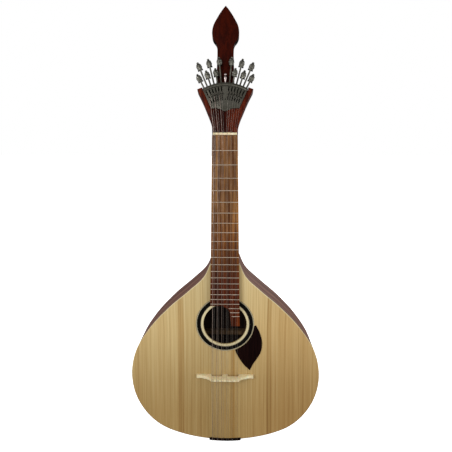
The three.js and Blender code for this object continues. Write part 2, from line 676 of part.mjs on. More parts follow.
function makeHead() {
  const plan = upright(headOutline(), 0, HEAD_THICKNESS);
  const back = HEAD_BACK_SHARES.map(([up, deep]) => [HEAD_THICKNESS * deep, HEAD_LENGTH * up]);
  const profile = [[-OVERRUN, -OVERRUN], [HEAD_THICKNESS * HEAD_BACK_SHARES[0][1], -OVERRUN], ...back];
  profile.push([HEAD_THICKNESS * HEAD_BACK_SHARES[0][1], HEAD_LENGTH + OVERRUN]);
  profile.push([-OVERRUN, HEAD_LENGTH + OVERRUN]);
  let head = plan.intersect(sideways(profile, -WING_SPAN, WING_SPAN));
  const stemReach = FINIAL_WIDTH * HALF + OVERRUN;
  head = head.subtract(block(-stemReach, stemReach, -OVERRUN, STEM_DROP, WING_HEIGHT, HEAD_LENGTH + OVERRUN));
  head = head.subtract(upright(trayOutline(GAP), -OVERRUN, TRAY_DEPTH + GAP));
  return moved(head, headFrame.matrixWorld);
}

// Tuning machine, in the head's frame
function trayOutline(grow) {
  const foot = TRAY_FOOT_SHARES.map(([across, up]) => [
    (TRAY_FOOT_HALF_WIDTH + grow) * across,
    TRAY_POINT_HEIGHT - grow + (TRAY_FOOT_HEIGHT - TRAY_POINT_HEIGHT) * up,
  ]);
  const top = TRAY_TOP_HALF_WIDTH + grow;
  const crest = arcPoints(ARC_RADIUS + grow, top, -top, ARC_STEPS);
  return [...foot, ...crest, ...mirrored(foot).slice(0, -1)];
}

function fanAngle(index) {
  const fromMiddle = index < STRINGS * HALF ? STRINGS * HALF - 1 - index : index - STRINGS * HALF;
  const side = index < STRINGS * HALF ? -1 : 1;
  return side * THREE.MathUtils.degToRad(FAN_FIRST_DEGREES + FAN_STEP_DEGREES * fromMiddle);
}

// Moves a shape made along Z from the fan's centre to one of the twelve directions
function fanMatrix(index, depth) {
  const matrix = new THREE.Matrix4().makeTranslation(0, depth, FAN_CENTRE_HEIGHT);
  return matrix.multiply(new THREE.Matrix4().makeRotationY(fanAngle(index)));
}

const insideArc = (front, back, radius) => upright(circle(radius, FAN_CENTRE_HEIGHT), front, back);

function makePost() {
  const sunk = COLLAR_LENGTH;
  const post = turned(
    POST_SHARES, POST_RADIUS, POST_RADIUS, ARC_RADIUS - sunk, POST_HEIGHT + sunk, KNOB_SIDES,
  );
  return moved(post, new THREE.Matrix4().makeTranslation(0, SCREW_DEPTH, FAN_CENTRE_HEIGHT));
}

function makeTray() {
  const blank = upright(trayOutline(0), GAP, TRAY_DEPTH);
  const pocketFloor = TRAY_DEPTH - TRAY_FLOOR;
  const pocket = upright(trayOutline(-TRAY_WALL), -OVERRUN, pocketFloor)
    .intersect(insideArc(-OVERRUN, pocketFloor, ARC_INNER_RADIUS))
    .subtract(insideArc(-OVERRUN * 2, FAR, POCKET_INNER_RADIUS));
  const arcBar = upright(trayOutline(0), -ARC_BAR_PROUD, TRAY_DEPTH)
    .subtract(insideArc(-FAR, FAR, ARC_INNER_RADIUS));
  let tray = blank.subtract(pocket).add(arcBar).add(makePost());
  for (let i = 0; i < STRINGS; i += 1) {
    const bore = rod(SCREW_DIAMETER + GAP * 2, SCREW_BOTTOM_RADIUS - GAP, ARC_RADIUS + OVERRUN, true);
    tray = tray.subtract(moved(bore, fanMatrix(i, SCREW_DEPTH)));
  }
  return tray;
}

function makeCover() {
  const rim = ARC_INNER_RADIUS - GAP;
  let cover = upright(trayOutline(0), -COVER_THICKNESS, 0).intersect(insideArc(-FAR, FAR, rim));
  for (let i = 0; i < STRINGS; i += 1) {
    const slot = block(
      -SLOT_WIDTH * HALF, SLOT_WIDTH * HALF, -OVERRUN, OVERRUN, SLOT_INNER_RADIUS, SLOT_OUTER_RADIUS,
    );
    cover = cover.subtract(moved(slot, fanMatrix(i, 0)));
  }
  return cover;
}

function isLong(index) {
  const fromMiddle = index < STRINGS * HALF ? STRINGS * HALF - 1 - index : index - STRINGS * HALF;
  return fromMiddle % 2 === 0;
}

// A screw along Z from the fan's centre, with its leaf-shaped knob
function makeScrew(index) {
  const knobMiddle = isLong(index) ? LONG_KNOB_RADIUS : SHORT_KNOB_RADIUS;
  const knobFoot = knobMiddle - KNOB_LENGTH * HALF;
  const innerCollar = ARC_INNER_RADIUS - GAP - COLLAR_LENGTH;
  const outerCollar = ARC_RADIUS + GAP;
  const knob = turned(
    KNOB_SHARES, KNOB_WIDTH * HALF, KNOB_THICKNESS * HALF, knobFoot, KNOB_LENGTH, KNOB_SIDES,
  );
  const knobTop = knobFoot + KNOB_LENGTH;
  return rod(SCREW_DIAMETER, SCREW_BOTTOM_RADIUS, knobMiddle)
    .add(rod(COLLAR_DIAMETER, innerCollar, innerCollar + COLLAR_LENGTH))
    .add(rod(COLLAR_DIAMETER, outerCollar, outerCollar + COLLAR_LENGTH))
    .add(knob)
    .add(rod(KNOB_NUB_WIDTH, knobTop - KNOB_NUB_LENGTH, knobTop + KNOB_NUB_LENGTH));
}

// A threaded slider on its screw, with the hook that comes out through the cover's slot
function makeHook() {
  const sliderFront = -SCREW_DEPTH + GAP;
  const slider = block(
    -SLIDER_WIDTH * HALF, SLIDER_WIDTH * HALF, sliderFront, sliderFront + SLIDER_HEIGHT,
    HOOK_RADIUS - SLIDER_LENGTH * HALF, HOOK_RADIUS + SLIDER_LENGTH * HALF,
  );
  const top = -SCREW_DEPTH - COVER_THICKNESS - HOOK_HEIGHT;
  const low = HOOK_RADIUS - HOOK_STEM_LENGTH * HALF;
  const high = HOOK_RADIUS + HOOK_STEM_LENGTH * HALF;
  const profile = [
    [sliderFront + GAP, low],
    [sliderFront + GAP, high],
    [top + HOOK_LIP_THICKNESS, high],
    [top + HOOK_LIP_THICKNESS, high + HOOK_LIP_LENGTH],
    [top, high + HOOK_LIP_LENGTH],
    [top, low],
  ];
  const hook = sideways(profile, -HOOK_WIDTH * HALF, HOOK_WIDTH * HALF);
  const bore = rod(
    SCREW_DIAMETER + GAP * 2, HOOK_RADIUS - SLIDER_LENGTH, HOOK_RADIUS + SLIDER_LENGTH, true,
  );
  return slider.add(hook).subtract(bore);
}

// Bridge, standing loose on the soundboard
function bridgeOutline() {
  const half = BRIDGE_LENGTH * HALF;
  const crown = BRIDGE_SHARES.map(([across, up]) => [half * across, BRIDGE_HEIGHT * up]);
  const archInner = BRIDGE_CENTRE_FOOT * HALF;
  const treble = [
    [archInner, 0],
    [archInner + BRIDGE_ARCH_SHOULDER, BRIDGE_ARCH_HEIGHT],
    [BRIDGE_ARCH_END - BRIDGE_ARCH_SHOULDER, BRIDGE_ARCH_HEIGHT],
    [BRIDGE_ARCH_END, 0],
    [half, 0],
    ...crown,
  ];
  return [...treble, ...mirrored(treble)];
}

function makeBridge() {
  const plate = upright(bridgeOutline(), -BRIDGE_FOOT_THICKNESS, BRIDGE_FOOT_THICKNESS);
  const taper = sideways([
    [-BRIDGE_FOOT_THICKNESS * HALF, -OVERRUN],
    [BRIDGE_FOOT_THICKNESS * HALF, -OVERRUN],
    [BRIDGE_FOOT_THICKNESS * HALF, 0],
    [BRIDGE_TOP_THICKNESS * HALF, BRIDGE_HEIGHT + GAP],
    [-BRIDGE_TOP_THICKNESS * HALF, BRIDGE_HEIGHT + GAP],
    [-BRIDGE_FOOT_THICKNESS * HALF, 0],
  ], -BRIDGE_LENGTH, BRIDGE_LENGTH);
  const lying = new THREE.Matrix4().makeTranslation(0, -GAP, BRIDGE_LEVEL);
  lying.multiply(new THREE.Matrix4().makeRotationX(Math.PI * HALF));
  return moved(plate.intersect(taper), lying);
}

function makePickguard() {
  const top = HOLE_HEIGHT - PICKGUARD_TOP_DROP;
  const length = top - BRIDGE_LEVEL - BRIDGE_FOOT_THICKNESS * HALF - PICKGUARD_TO_BRIDGE;
  const place = ([across, down]) => [
    PICKGUARD_LEFT + PICKGUARD_WIDTH * across, top - length * down,
  ];
  const points = PICKGUARD_SHARES.map(place);
  const [firstTip, secondTip] = PICKGUARD_TIPS;
  const outer = smooth(points.slice(firstTip, secondTip + 1), (secondTip - firstTip) * OUTLINE_STEPS);
  const inner = smooth(points.slice(secondTip), (points.length - secondTip - 1) * OUTLINE_STEPS);
  const leaf = upright([...outer, ...inner.slice(1)], -GAP - PICKGUARD_THICKNESS, -GAP);
  return leaf.subtract(upright(circle(ROSETTE_RADIUS + GAP, HOLE_HEIGHT), -FAR, FAR));
}

// Tail
function tailBand(outer, inner, front, back, width) {
  const half = width * HALF;
  return bodyBand(outer, inner, front, back)
    .intersect(block(-half, half, -FAR, FAR, BODY_END - FAR, BODY_END + TAIL_BLOCK_LENGTH));
}

function makeTailSaddle() {
  const strip = tailBand(-GAP - SADDLE_APRON_THICKNESS, SADDLE_INSET, -GAP - SADDLE_PROUD, -GAP, SADDLE_WIDTH);
  const apron = tailBand(
    -GAP - SADDLE_APRON_THICKNESS, -GAP, -GAP - SADDLE_PROUD, SADDLE_APRON_DROP, SADDLE_WIDTH,
  );
  return strip.add(apron);
}

function courseOffset(index, coursePitch, pairPitch) {
  const course = Math.floor(index / STRINGS_PER_COURSE);
  const inCourse = index % STRINGS_PER_COURSE;
  const courseMiddle = (course - (COURSES - 1) * HALF) * coursePitch;
  return courseMiddle + (inCourse - (STRINGS_PER_COURSE - 1) * HALF) * pairPitch;
}

function endHeight(x, outset) {
  const outline = bodyOutline(-outset);
  for (let i = 0; i + 1 < outline.length; i += 1) {
    const [x0, z0] = outline[i];
    const [x1, z1] = outline[i + 1];
    if (z0 < HOLE_HEIGHT && x0 >= x && x1 <= x) {
      return z0 + ((z1 - z0) * (x - x0)) / (x1 - x0);
    }
  }
  return BODY_END - outset;
}

function makeTailpiece() {
  const back = TAILPIECE_FRONT + TAILPIECE_HEIGHT;
  let piece = tailBand(-GAP - TAILPIECE_THICKNESS, -GAP, TAILPIECE_FRONT, back, TAILPIECE_WIDTH);
  for (let i = 0; i < STRINGS; i += 1) {
    const x = courseOffset(i, TAIL_COURSE_PITCH, BRIDGE_PAIR_PITCH);
    const seat = endHeight(x, GAP + TAILPIECE_THICKNESS * HALF);
    const pin = rod(TAIL_PIN_DIAMETER, seat - TAIL_PIN_LENGTH, seat);
    const place = new THREE.Matrix4().makeTranslation(x, TAILPIECE_FRONT + TAIL_PIN_SETBACK, 0);
    piece = piece.add(moved(pin, place));
  }
  return piece;
}

// Strings, each from its hook over nut, bridge and tail saddle to its pin
function stringRoute(index) {
  const radius = THICKEST_STRING_DIAMETER * STRING_SHARES[index] * HALF;
  const clear = radius + GAP;
  const hookFoot = HOOK_RADIUS - HOOK_STEM_LENGTH * HALF - clear;
  const atHook = new THREE.Vector3(0, -COVER_THICKNESS - STRING_LIFT, hookFoot)
    .applyMatrix4(fanMatrix(index, 0))
    .applyMatrix4(headFrame.matrixWorld);
  const nutX = courseOffset(index, NUT_COURSE_PITCH, NUT_PAIR_PITCH);
  const nutTop = -BOARD_THICKNESS - NUT_PROUD - clear;
  const overNut = new THREE.Vector3(nutX, nutTop, OCTAVE_LENGTH + NUT_THICKNESS * HALF)
    .applyMatrix4(neckFrame.matrixWorld);
  const bridgeX = courseOffset(index, BRIDGE_COURSE_PITCH, BRIDGE_PAIR_PITCH);
  const overBridge = new THREE.Vector3(bridgeX, -GAP - BRIDGE_HEIGHT - clear, BRIDGE_LEVEL);
  const tailX = courseOffset(index, TAIL_COURSE_PITCH, BRIDGE_PAIR_PITCH);
  const apronFace = endHeight(tailX, GAP + SADDLE_APRON_THICKNESS);
  const overSaddle = new THREE.Vector3(tailX, -GAP - SADDLE_PROUD - clear, apronFace - clear);
  const pinFront = TAILPIECE_FRONT + TAIL_PIN_SETBACK - TAIL_PIN_DIAMETER * HALF - clear;
  const atPin = new THREE.Vector3(tailX, pinFront, apronFace - clear);
  return [atHook, overNut, overBridge, overSaddle, atPin];
}

function makeString(index) {
  const route = stringRoute(index);
  const radius = THICKEST_STRING_DIAMETER * STRING_SHARES[index] * HALF;
  const rings = route.map((point, i) => {
    const before = route[Math.max(0, i - 1)];
    const after = route[Math.min(route.length - 1, i + 1)];
    const along = after.clone().sub(before).normalize();
    const across = new THREE.Vector3(1, 0, 0);
    across.addScaledVector(along, -across.dot(along)).normalize();
    const outward = across.clone().cross(along);
    const ring = [];
    for (let k = 0; k < STRING_SIDES; k += 1) {
      const angle = (2 * Math.PI * k) / STRING_SIDES;
      ring.push(point.clone()
        .addScaledVector(across, radius * Math.cos(angle))
        .addScaledVector(outward, -radius * Math.sin(angle)));
    }
    return ring;
  });
  return lofted(rings);
}

// Put everything together
const sides = [['treble', trebleSide], ['bass', bassSide]];
guitar.add(named('soundboard', makeSoundboard(), SPRUCE));
guitar.add(named('rosette', makeRosette(), INLAY));
guitar.add(named('back', makeBack(), ROSEWOOD));
for (const [sideName, side] of sides) {
  guitar.add(named(`rib_${sideName}`, makeRib(side), ROSEWOOD));
  guitar.add(named(`top_lining_${sideName}`, makeLining(side, false), CEDAR));
  guitar.add(named(`back_lining_${sideName}`, makeLining(side, true), CEDAR));
}
guitar.add(named('neck_block', makeNeckBlock(), CEDAR));
guitar.add(named('tail_block', makeTailBlock(), CEDAR));
[true, false].forEach((above, i) => {
  guitar.add(named(`top_brace_${i + 1}`, makeTopBrace(above), SPRUCE));
});
BACK_BRACE_SHARES.forEach((share, i) => {
  guitar.add(named(`back_brace_${i + 1}`, makeBackBrace(share), CEDAR));
});
guitar.add(named('neck', makeNeckShaft().add(makeHead()), NECK_WOOD));
guitar.add(named('fingerboard', makeFingerboard(), BOARD_WOOD));
neckFrame.add(named('nut', makeNut(), BONE));
guitar.add(named('bridge', makeBridge(), BONE));
guitar.add(named('pickguard', makePickguard(), EBONY));
guitar.add(named('tail_saddle', makeTailSaddle(), EBONY));
guitar.add(named('tailpiece', makeTailpiece(), STEEL));
headFrame.add(named('tuner_tray', makeTray(), PEWTER));
headFrame.add(named('tuner_cover', makeCover(), PEWTER));
for (let i = 0; i < STRINGS; i += 1) {
  const lane = new THREE.Group();
  lane.position.set(0, SCREW_DEPTH, FAN_CENTRE_HEIGHT);
  lane.rotation.y = fanAngle(i);
  lane.add(named(`tuning_screw_${i + 1}`, makeScrew(i), PEWTER));
  lane.add(named(`string_hook_${i + 1}`, makeHook(), STEEL));
  headFrame.add(lane);
  guitar.add(named(`string_${i + 1}`, makeString(i), i < STRINGS * HALF ? BRONZE : STEEL));
}

// The stored part has its zero where the hanger holds the head
const hangerPoint = new THREE.Vector3(0, HANGER_DEPTH, HANGER_HEIGHT).applyMatrix4(headFrame.matrixWorld);
guitar.position.copy(hangerPoint).negate();
const part = new THREE.Group();
part.add(guitar);

export default part;
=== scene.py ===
"""A Portuguese guitar: the looks of each piece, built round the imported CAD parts."""
import math

import bpy
from mathutils import Matrix, Vector


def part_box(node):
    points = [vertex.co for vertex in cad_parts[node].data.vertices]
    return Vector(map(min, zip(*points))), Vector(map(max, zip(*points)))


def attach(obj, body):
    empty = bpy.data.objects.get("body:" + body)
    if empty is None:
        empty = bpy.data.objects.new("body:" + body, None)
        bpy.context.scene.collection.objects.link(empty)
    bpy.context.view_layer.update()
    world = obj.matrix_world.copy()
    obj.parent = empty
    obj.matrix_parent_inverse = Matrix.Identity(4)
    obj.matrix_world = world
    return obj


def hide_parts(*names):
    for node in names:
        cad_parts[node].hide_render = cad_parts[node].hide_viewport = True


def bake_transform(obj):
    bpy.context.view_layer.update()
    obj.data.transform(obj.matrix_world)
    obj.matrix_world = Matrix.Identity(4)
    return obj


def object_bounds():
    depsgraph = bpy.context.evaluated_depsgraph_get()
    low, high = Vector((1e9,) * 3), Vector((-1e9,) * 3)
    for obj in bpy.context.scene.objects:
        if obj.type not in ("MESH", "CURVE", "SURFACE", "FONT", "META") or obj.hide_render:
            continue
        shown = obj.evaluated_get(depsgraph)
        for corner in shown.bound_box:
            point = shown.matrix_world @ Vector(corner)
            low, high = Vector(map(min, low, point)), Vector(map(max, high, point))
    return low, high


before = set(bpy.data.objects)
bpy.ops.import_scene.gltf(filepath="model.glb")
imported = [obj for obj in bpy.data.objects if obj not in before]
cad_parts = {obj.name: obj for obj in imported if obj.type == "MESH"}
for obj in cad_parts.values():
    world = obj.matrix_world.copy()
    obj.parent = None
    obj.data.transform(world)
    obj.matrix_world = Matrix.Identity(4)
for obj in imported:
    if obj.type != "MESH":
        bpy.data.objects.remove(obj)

bl_info = {
    "name": "Portuguese guitar",
    "version": (1, 0, 0),
    "blender": (4, 5, 0),
    "location": "View3D > Sidebar > Guitar",
    "description": "Builds the pieces and finishes of a twelve-string Portuguese guitar",
    "category": "Add Mesh",
}

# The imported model's own box, kept before any piece is added
CAD_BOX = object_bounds()
MM = 0.001

# The stage, in metres. The camera is the one that fits the photograph's frame of 452 pixels
FLOOR_SIZE, FLOOR_DROP = 60, 0.002
AMBIENT_LIGHT = 0.3
LIGHTS_AIM = (0, 0, -0.3)
LIGHTS = [  # name, place, size, power
    ("key_light", (-1.1, -1.5, 0.45), 1.4, 29.5), ("fill_light", (1.4, -1.2, 0.2), 1.6, 20),
    ("back_light", (0.8, 1.5, 0.8), 1.5, 14),
]
CAMERA_PLACE, CAMERA_VIEW = (0.01712, -0.75592, -0.04951), (-0.02010603, 0.96914627, -0.24566492)
SENSOR_WIDTH, FOCAL_PIXELS, FRAME_PIXELS = 36, 400.6, 452
CAMERA_SHIFT, CAMERA_CLIP = 0.0513, 0.01

# Lengths below are in millimetres, in the instrument's own frame: Y is zero on the soundboard's face
# and grows towards the back, Z is zero at the nut's height and the body hangs below it. A list of shares
# is an outline: the share of its half width or width, then the share of its length.
GAP = 0.3
CUT_REACH = 9  # how far a cutter reaches past what it cuts

# Strings and frets
STRINGS, WOUND_STRINGS = 12, (0, 2, 4)
FRETS, LAST_FULL_FRET, FRETS_PER_OCTAVE = 22, 19, 12
SCALE_LENGTH = 470.0
OCTAVE_LENGTH = SCALE_LENGTH / 2
NUT_COURSE_PITCH, NUT_PAIR_PITCH = 7.0, 2.6
BRIDGE_COURSE_PITCH, BRIDGE_PAIR_PITCH = 9.6, 3.2
TAIL_COURSE_PITCH = 10.0
GAUGE_SHARES = [1, 0.42, 0.79, 0.36, 0.58, 0.295, 0.4, 0.4, 0.316, 0.316, 0.263, 0.263]
STRING_BEND, BEND_STEPS = 1.6, 6  # how far from a corner a string starts to bend
# The end loop: its half width, half height and lean, where it starts and how far it goes in half turns,
# its wire, and the winding below it, which drops by its step with each eighth of a turn
LOOP_RADIUS, LOOP_HALF_HEIGHT, LOOP_LEAN, LOOP_START, LOOP_REACH = 1.35, 2, 0.1, -0.4, 1.8
LOOP_WIRE, LOOP_WIRE_SHARE, LOOP_STEPS = 0.14, 0.1, 16
WINDING_ROOM, WINDING_DROP, WINDING_STEP, WINDING_STEPS = 0.12, 2.7, 0.1, 24
FRET_INSET = 0.4
FRET_END_SHARES = [(0, 0.55), (0.35, 0.9), (0.9, 1)]  # in from its end, then the share of its height

# Body
BODY_TOP = -OCTAVE_LENGTH
BODY_LENGTH, BODY_HALF_WIDTH, BODY_DEPTH, BACK_RISE = 391.0, 191.5, 80.0, 6.0
BACK_THICKNESS, TOP_THICKNESS, RIB_THICKNESS = 3.0, 2.8, 2.2
BODY_SHARES = [
    (0.145, 0), (0.212, 0.069), (0.364, 0.141), (0.572, 0.23), (0.785, 0.345), (0.943, 0.473),
    (1, 0.6215), (0.94, 0.767), (0.752, 0.895), (0.475, 0.964), (0, 1),
]
# The inside of the back is bare and painted dark with shade
BACK_STEPS, INSIDE_SLOPE = 36, -0.7  # the back is bare where its normal leans further forward than this
# The thin edging round the soundboard, the first row of points inside it, and how much of an edge is bevelled
EDGING_WIDTH, EDGE_ROW, BEVEL_SHARE = 0.6, 3.0, 0.3
WOOD_EDGE, FINE_EDGE = 0.5, 0.2

# Neck, fingerboard and nut
NECK_SET, HEAD_TILT = 2.3, 11.7
BOARD_THICKNESS = 7.2
BOARD_NUT_WIDTH, BOARD_OCTAVE_WIDTH = 45.4, 53.6
BOARD_OVERHANG, TONGUE_OVERHANG = 3.85, 19.9
# The blank of the board before its back is cut, and the cutters: half width, depth, top, foot, overlap
BLANK_DEPTH = 30
BOARD_CUT = (40, 60, 250, -400, 6)
TONGUE_START, TONGUE_INNER, TONGUE_FRET_START = -4.7, 12.8, 7.6
TONGUE_CURVE_SHARES = [
    (0, 0), (0.383, 0.098), (0.657, 0.2), (0.789, 0.315), (0.857, 0.51), (0.903, 0.72), (1, 1),
]
NUT_WIDTH, NUT_THICKNESS, NUT_PROUD, NUT_SLOPE = 42.0, 4.4, 1.6, -8
NUT_FACE, NUT_FALL = [(0.3, 0), (0, 0.3), (0, 2.0), (0.5, 3.2)], 1.4  # below its top, above its lower side
NUT_SLOT_ROOM, NUT_SLOT_SHARE = 0.12, 0.4
STRING_REST = 2.0  # from the nut's lower side to where the strings leave it
NECK_TOP = OCTAVE_LENGTH + 5.6
NECK_DEPTH_AT_HEEL, NECK_DEPTH_AT_NUT = 16.5, 14.5
NECK_ROUNDNESS, HEEL_EXTRA_ROUNDNESS, HEEL_EASE = 0.85, 0.4, 1.9
NECK_SIDES, HEEL_STEPS, SHAFT_STEPS, NECK_LAP, HEEL_SPACING = 48, 22, 10, -6, 1.3
HEEL_LENGTH, HEEL_CAP_DEPTH, HEEL_SWEEP_DEPTH = 66.0, 77.0, 110.0

# Head and tuning machine, in the head's frame
HEAD_HALF_BASE, WING_HALF_SPAN, WING_HEIGHT = 22.8, 49.9, 76.22
WING_TOP = (40.9, 79.5)
WING_SHARES = [(0, 0), (0.022, 0.134), (0.118, 0.274), (0.373, 0.511), (0.653, 0.75), (1, 1)]
HEAD_THICKNESS = 24.0
HEAD_BACK = [(14.4, 0), (21.1, 30), (24, 60), (24, 184.4), (20.4, 230.5)]
HEAD_REACH = (60, 240)  # past its side and its top
# The edges with painted shade lie between the side walls and the flat faces
WALL_SLOPE, FLAT_SLOPE = 0.2, 0.985  # the dark edges lie between the side walls and the flat faces
STEM_HALF_WIDTH, STEM_HALF_TOP, STEM_FOOT, STEM_FACE = 16.8, 16.7, 70, 10.8
DROP_FOOT, DROP_LENGTH, DROP_HALF_WIDTH = 142.7, 87.8, 24.4
DROP_SHARES = [
    (0.6, 0), (0.605, 0.1), (0.62, 0.175), (0.7, 0.24), (0.83, 0.285), (0.95, 0.345), (1, 0.42),
    (0.98, 0.52), (0.88, 0.62), (0.69, 0.72), (0.48, 0.82), (0.21, 0.93), (0, 1),
]
FAN_CENTRE, FAN_FIRST, FAN_STEP = 7.0, 5.2, 4.45
ARC_RADIUS, ARC_BAR_WIDTH, ARC_HALF_ANGLE, ARC_STEPS = 80.5, 5.8, 30.1, 64
ARC_INNER, ARC_MIDDLE = ARC_RADIUS - ARC_BAR_WIDTH, ARC_RADIUS - ARC_BAR_WIDTH / 2
# A flat bar with rounded edges and one raised line along its middle: outwards, then depth
ARC_SECTION = [
    (0, 0.4), (0, -1.5), (0.3, -1.9), (0.8, -2.0), (2.2, -1.9), (2.5, -2.15), (3.3, -2.15), (3.6, -1.9),
    (5.0, -2.0), (5.5, -1.9), (5.8, -1.5), (5.8, 0.4),
]
TRAY_HALF_TOP, TRAY_HALF_FOOT, TRAY_POINT, TRAY_FOOT_RISE = 40.41, 25.04, 36.7, 5.6
TRAY_FOOT_SHARES = [(0, 0), (0.2, 0.35), (0.42, 0.8), (0.62, 1), (1, 0.95)]
TRAY_DEPTH, TRAY_WALL, TRAY_FLOOR, TRAY_STEP = 9.5, 1.6, 1.0, 2
POCKET_REACH = (-10, 12)
POST_RADIUS, POST_SINK, POST_LENGTH = 3.2, 1.4, 19.4
POST_VASE = [(0.75, 0), (0.75, 0.1), (0.35, 0.18), (0.62, 0.4), (0.95, 0.62), (0.7, 0.78), (0.5, 0.84)]
POST_CAP = [(0.5, 0.84), (0.85, 0.88), (0.85, 0.96), (0.4, 1)]
COVER_THICKNESS, COVER_SCREW_HEIGHT = 1.2, 58
COVER_SCREW_PROFILE = [(0, 0), (1.1, 0), (1.1, -0.35), (0.9, -0.6), (0, -0.7)]
COVER_SCREW_SLOT = ((-2, -0.18, -1), (2, 0.18, -0.35))
SLOT_INNER, SLOT_OUTER, SLOT_WIDTH = 49.5, 74.0, 2.3

# Tuning screws, along each one's own axis. A profile holds radii and heights
SCREW_DEPTH, SCREW_FOOT, THREAD_TOP = 4.7, 43.5, 72.6
THREAD_RADIUS, THREAD_CUT, THREAD_SIDES, STEPS_PER_TURN = 1.1, 0.24, 12, 4
COLLARS_PROFILE = [
    (0, 72.5), (1.05, 72.5), (1.05, 73.0), (1.7, 73.0), (1.7, 74.4), (1.05, 74.4), (1.05, 80.8), (1.7, 80.8),
    (1.7, 82.0), (1.6, 82.2), (1.5, 82.6),
]
SHAFT_TOP_PROFILE = [(1.5, -7.6), (1.7, -7.2), (1.7, -6.5), (1.2, -5.6), (0, -5.5)]  # from the knob's middle
SHORT_KNOB, LONG_KNOB = 101.3, 120.0
KNOB_LENGTH, KNOB_HALF_WIDTH, KNOB_HALF_THICKNESS = 13.5, 4.9, 2.2
KNOB_SHARES = [(0.35, 0), (0.8, 0.07), (0.96, 0.26), (1, 0.5), (0.94, 0.7), (0.66, 0.88), (0.02, 1)]
PETALS, PETAL_SWIRL, PETAL_WAVE, KNOB_SIDES = 6, 2.4, 0.05, 40
TIP_FADE, MIDDLE_FADE = 1.5, 2.2  # how fast the hollows deepen away from the tips and the middle
# Two near-black lobes below each knob: painted shade of the recesses beside its shaft
LOBE_RADIUS, LOBE_PLACE, LOBE_SHAPE = 1.5, (3.4, 0, -6.3), (1.0, 1.1, 0.9, 1)
NUB_PROFILE = [(0, 5.6), (2.2, 5.6), (1.9, 6.4), (2.1, 7.2), (2.0, 8.0), (1.3, 8.5), (0, 8.72)]

# Sliders and hooks, along the same axis. The hook's profile holds depths and heights
SLIDER_BOX, SLIDER_EDGE = ((-1.8, -4.4, 58), (1.8, 2.5, 64)), 0.3
SLIDER_BORE, SLIDER_BORE_REACH = 1.25, (50, 70)
HOOK_PROFILE = [
    (-4.1, 59.7), (-4.1, 62.3), (-7.7, 62.3), (-8.3, 62.6), (-8.3, 64.6), (-8.9, 64.7), (-9.5, 64.3),
    (-9.5, 60.6), (-9.2, 59.9), (-8.6, 59.7),
]
HOOK_HALF_WIDTH, HOOK_EDGE = 0.8, 0.35
HOOK_RADIUS, HOOK_HALF_HEIGHT, STRING_DEPTH = 61.0, 1.3, -2.3

# Bridge, leaf plate, rosette and tail
BRIDGE_LEVEL = -472.5
BRIDGE_HEIGHT, BRIDGE_HALF_LENGTH, BRIDGE_FOOT, BRIDGE_TOP = 21.0, 58, 6.5, 3.0
BRIDGE_CROWN = [
    (58, 2.1), (57.6, 5.2), (56.6, 6.3), (54.4, 6.2), (52.2, 5.7), (49, 6.1), (45.8, 6.5), (44.2, 7.6),
    (42.3, 8.8), (40.2, 9.2), (38.3, 9.5), (36.4, 11.0), (34.8, 12.6), (32.6, 13.6), (31.3, 14.3),
    (30.2, 16.4), (29, 18.1), (27.9, 20.0), (26.6, 20.9),
]
BRIDGE_ARCH = [
    (5.1, 0), (5.3, 4.6), (6.2, 6.4), (7.6, 7.0), (25.3, 7.0), (26.7, 6.4), (27.6, 4.6), (27.8, 0),
]
NOTCH_ROOM, NOTCH_RISE, BRIDGE_EDGE = 0.7, 0.2, 0.45
LEAF_LEFT, LEAF_WIDTH, LEAF_THICKNESS, LEAF_TOP_DROP, LEAF_TO_BRIDGE = 20.0, 54.0, 1.2, 1.0, 10.0
LEAF_SHARES = [
    (0.76, 0), (0.92, 0.19), (0.997, 0.4), (0.945, 0.6), (0.8, 0.75), (0.67, 0.87), (0.56, 1),
    (0.34, 0.88), (0.16, 0.73), (0.01, 0.54), (0.12, 0.25),
]
LEAF_TIP = 6
HOLE_RADIUS, ROSETTE_RADIUS, ROSETTE_THICKNESS, ROSETTE_EDGE = 42.5, 57.5, 1.2, 0.35
VENEER_JOINTS, JOINT_HALF_WIDTH, JOINT_DEPTH = (47.5, 49.5, 53.5, 55.5), 0.1, 0.08
# Sections of what bends round the tail: how far outside the body's edge, then depth
TAIL_STRIP_SECTION = [
    (-3.6, -GAP), (-3.6, -2.3), (-3.2, -2.7), (1.1, -2.7), (1.8, -2.4), (2.1, -1.7), (2.1, 8), (GAP, 8),
    (GAP, -GAP),
]
TAIL_PLATE_SECTION = [(GAP, 14.0), (1.8, 14.0), (1.8, 44.0), (GAP, 44.0)]
TAIL_STRIP_WIDTH, TAIL_PLATE_WIDTH, TAIL_STEPS = 66.7, 62.0, 40
TAIL_STRIP_EDGE, TAIL_PLATE_EDGE = 0.3, 0.35
TAIL_STRIP_FACE = (2.15, -2.75)  # its outermost and foremost points, which the strings bend over
PIN_DEPTH, PIN_SEAT, PIN_ROOM = 21.0, 1.8, 1
PIN_PROFILE = [(0, -0.2), (0.8, -0.2), (0.8, 2.7), (1, 3), (1, 3.35), (0.7, 3.55), (0, 3.6)]


def fret_drop(number):
    """How far a fret lies below the nut"""
    return SCALE_LENGTH * (1 - 2 ** (-number / FRETS_PER_OCTAVE))


# The soundhole touches the fingerboard's end
HOLE_HEIGHT = -fret_drop(LAST_FULL_FRET) - BOARD_OVERHANG - HOLE_RADIUS


def shift(x, y, z):
    return Matrix.Translation((x, y, z))


def turn(degrees, axis):
    return Matrix.Rotation(math.radians(degrees), 4, axis)


def pack_offset():
    """Where the instrument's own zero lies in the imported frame, in millimetres"""
    low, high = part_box("soundboard")
    return 0, low[1] / MM, high[2] / MM - BODY_TOP


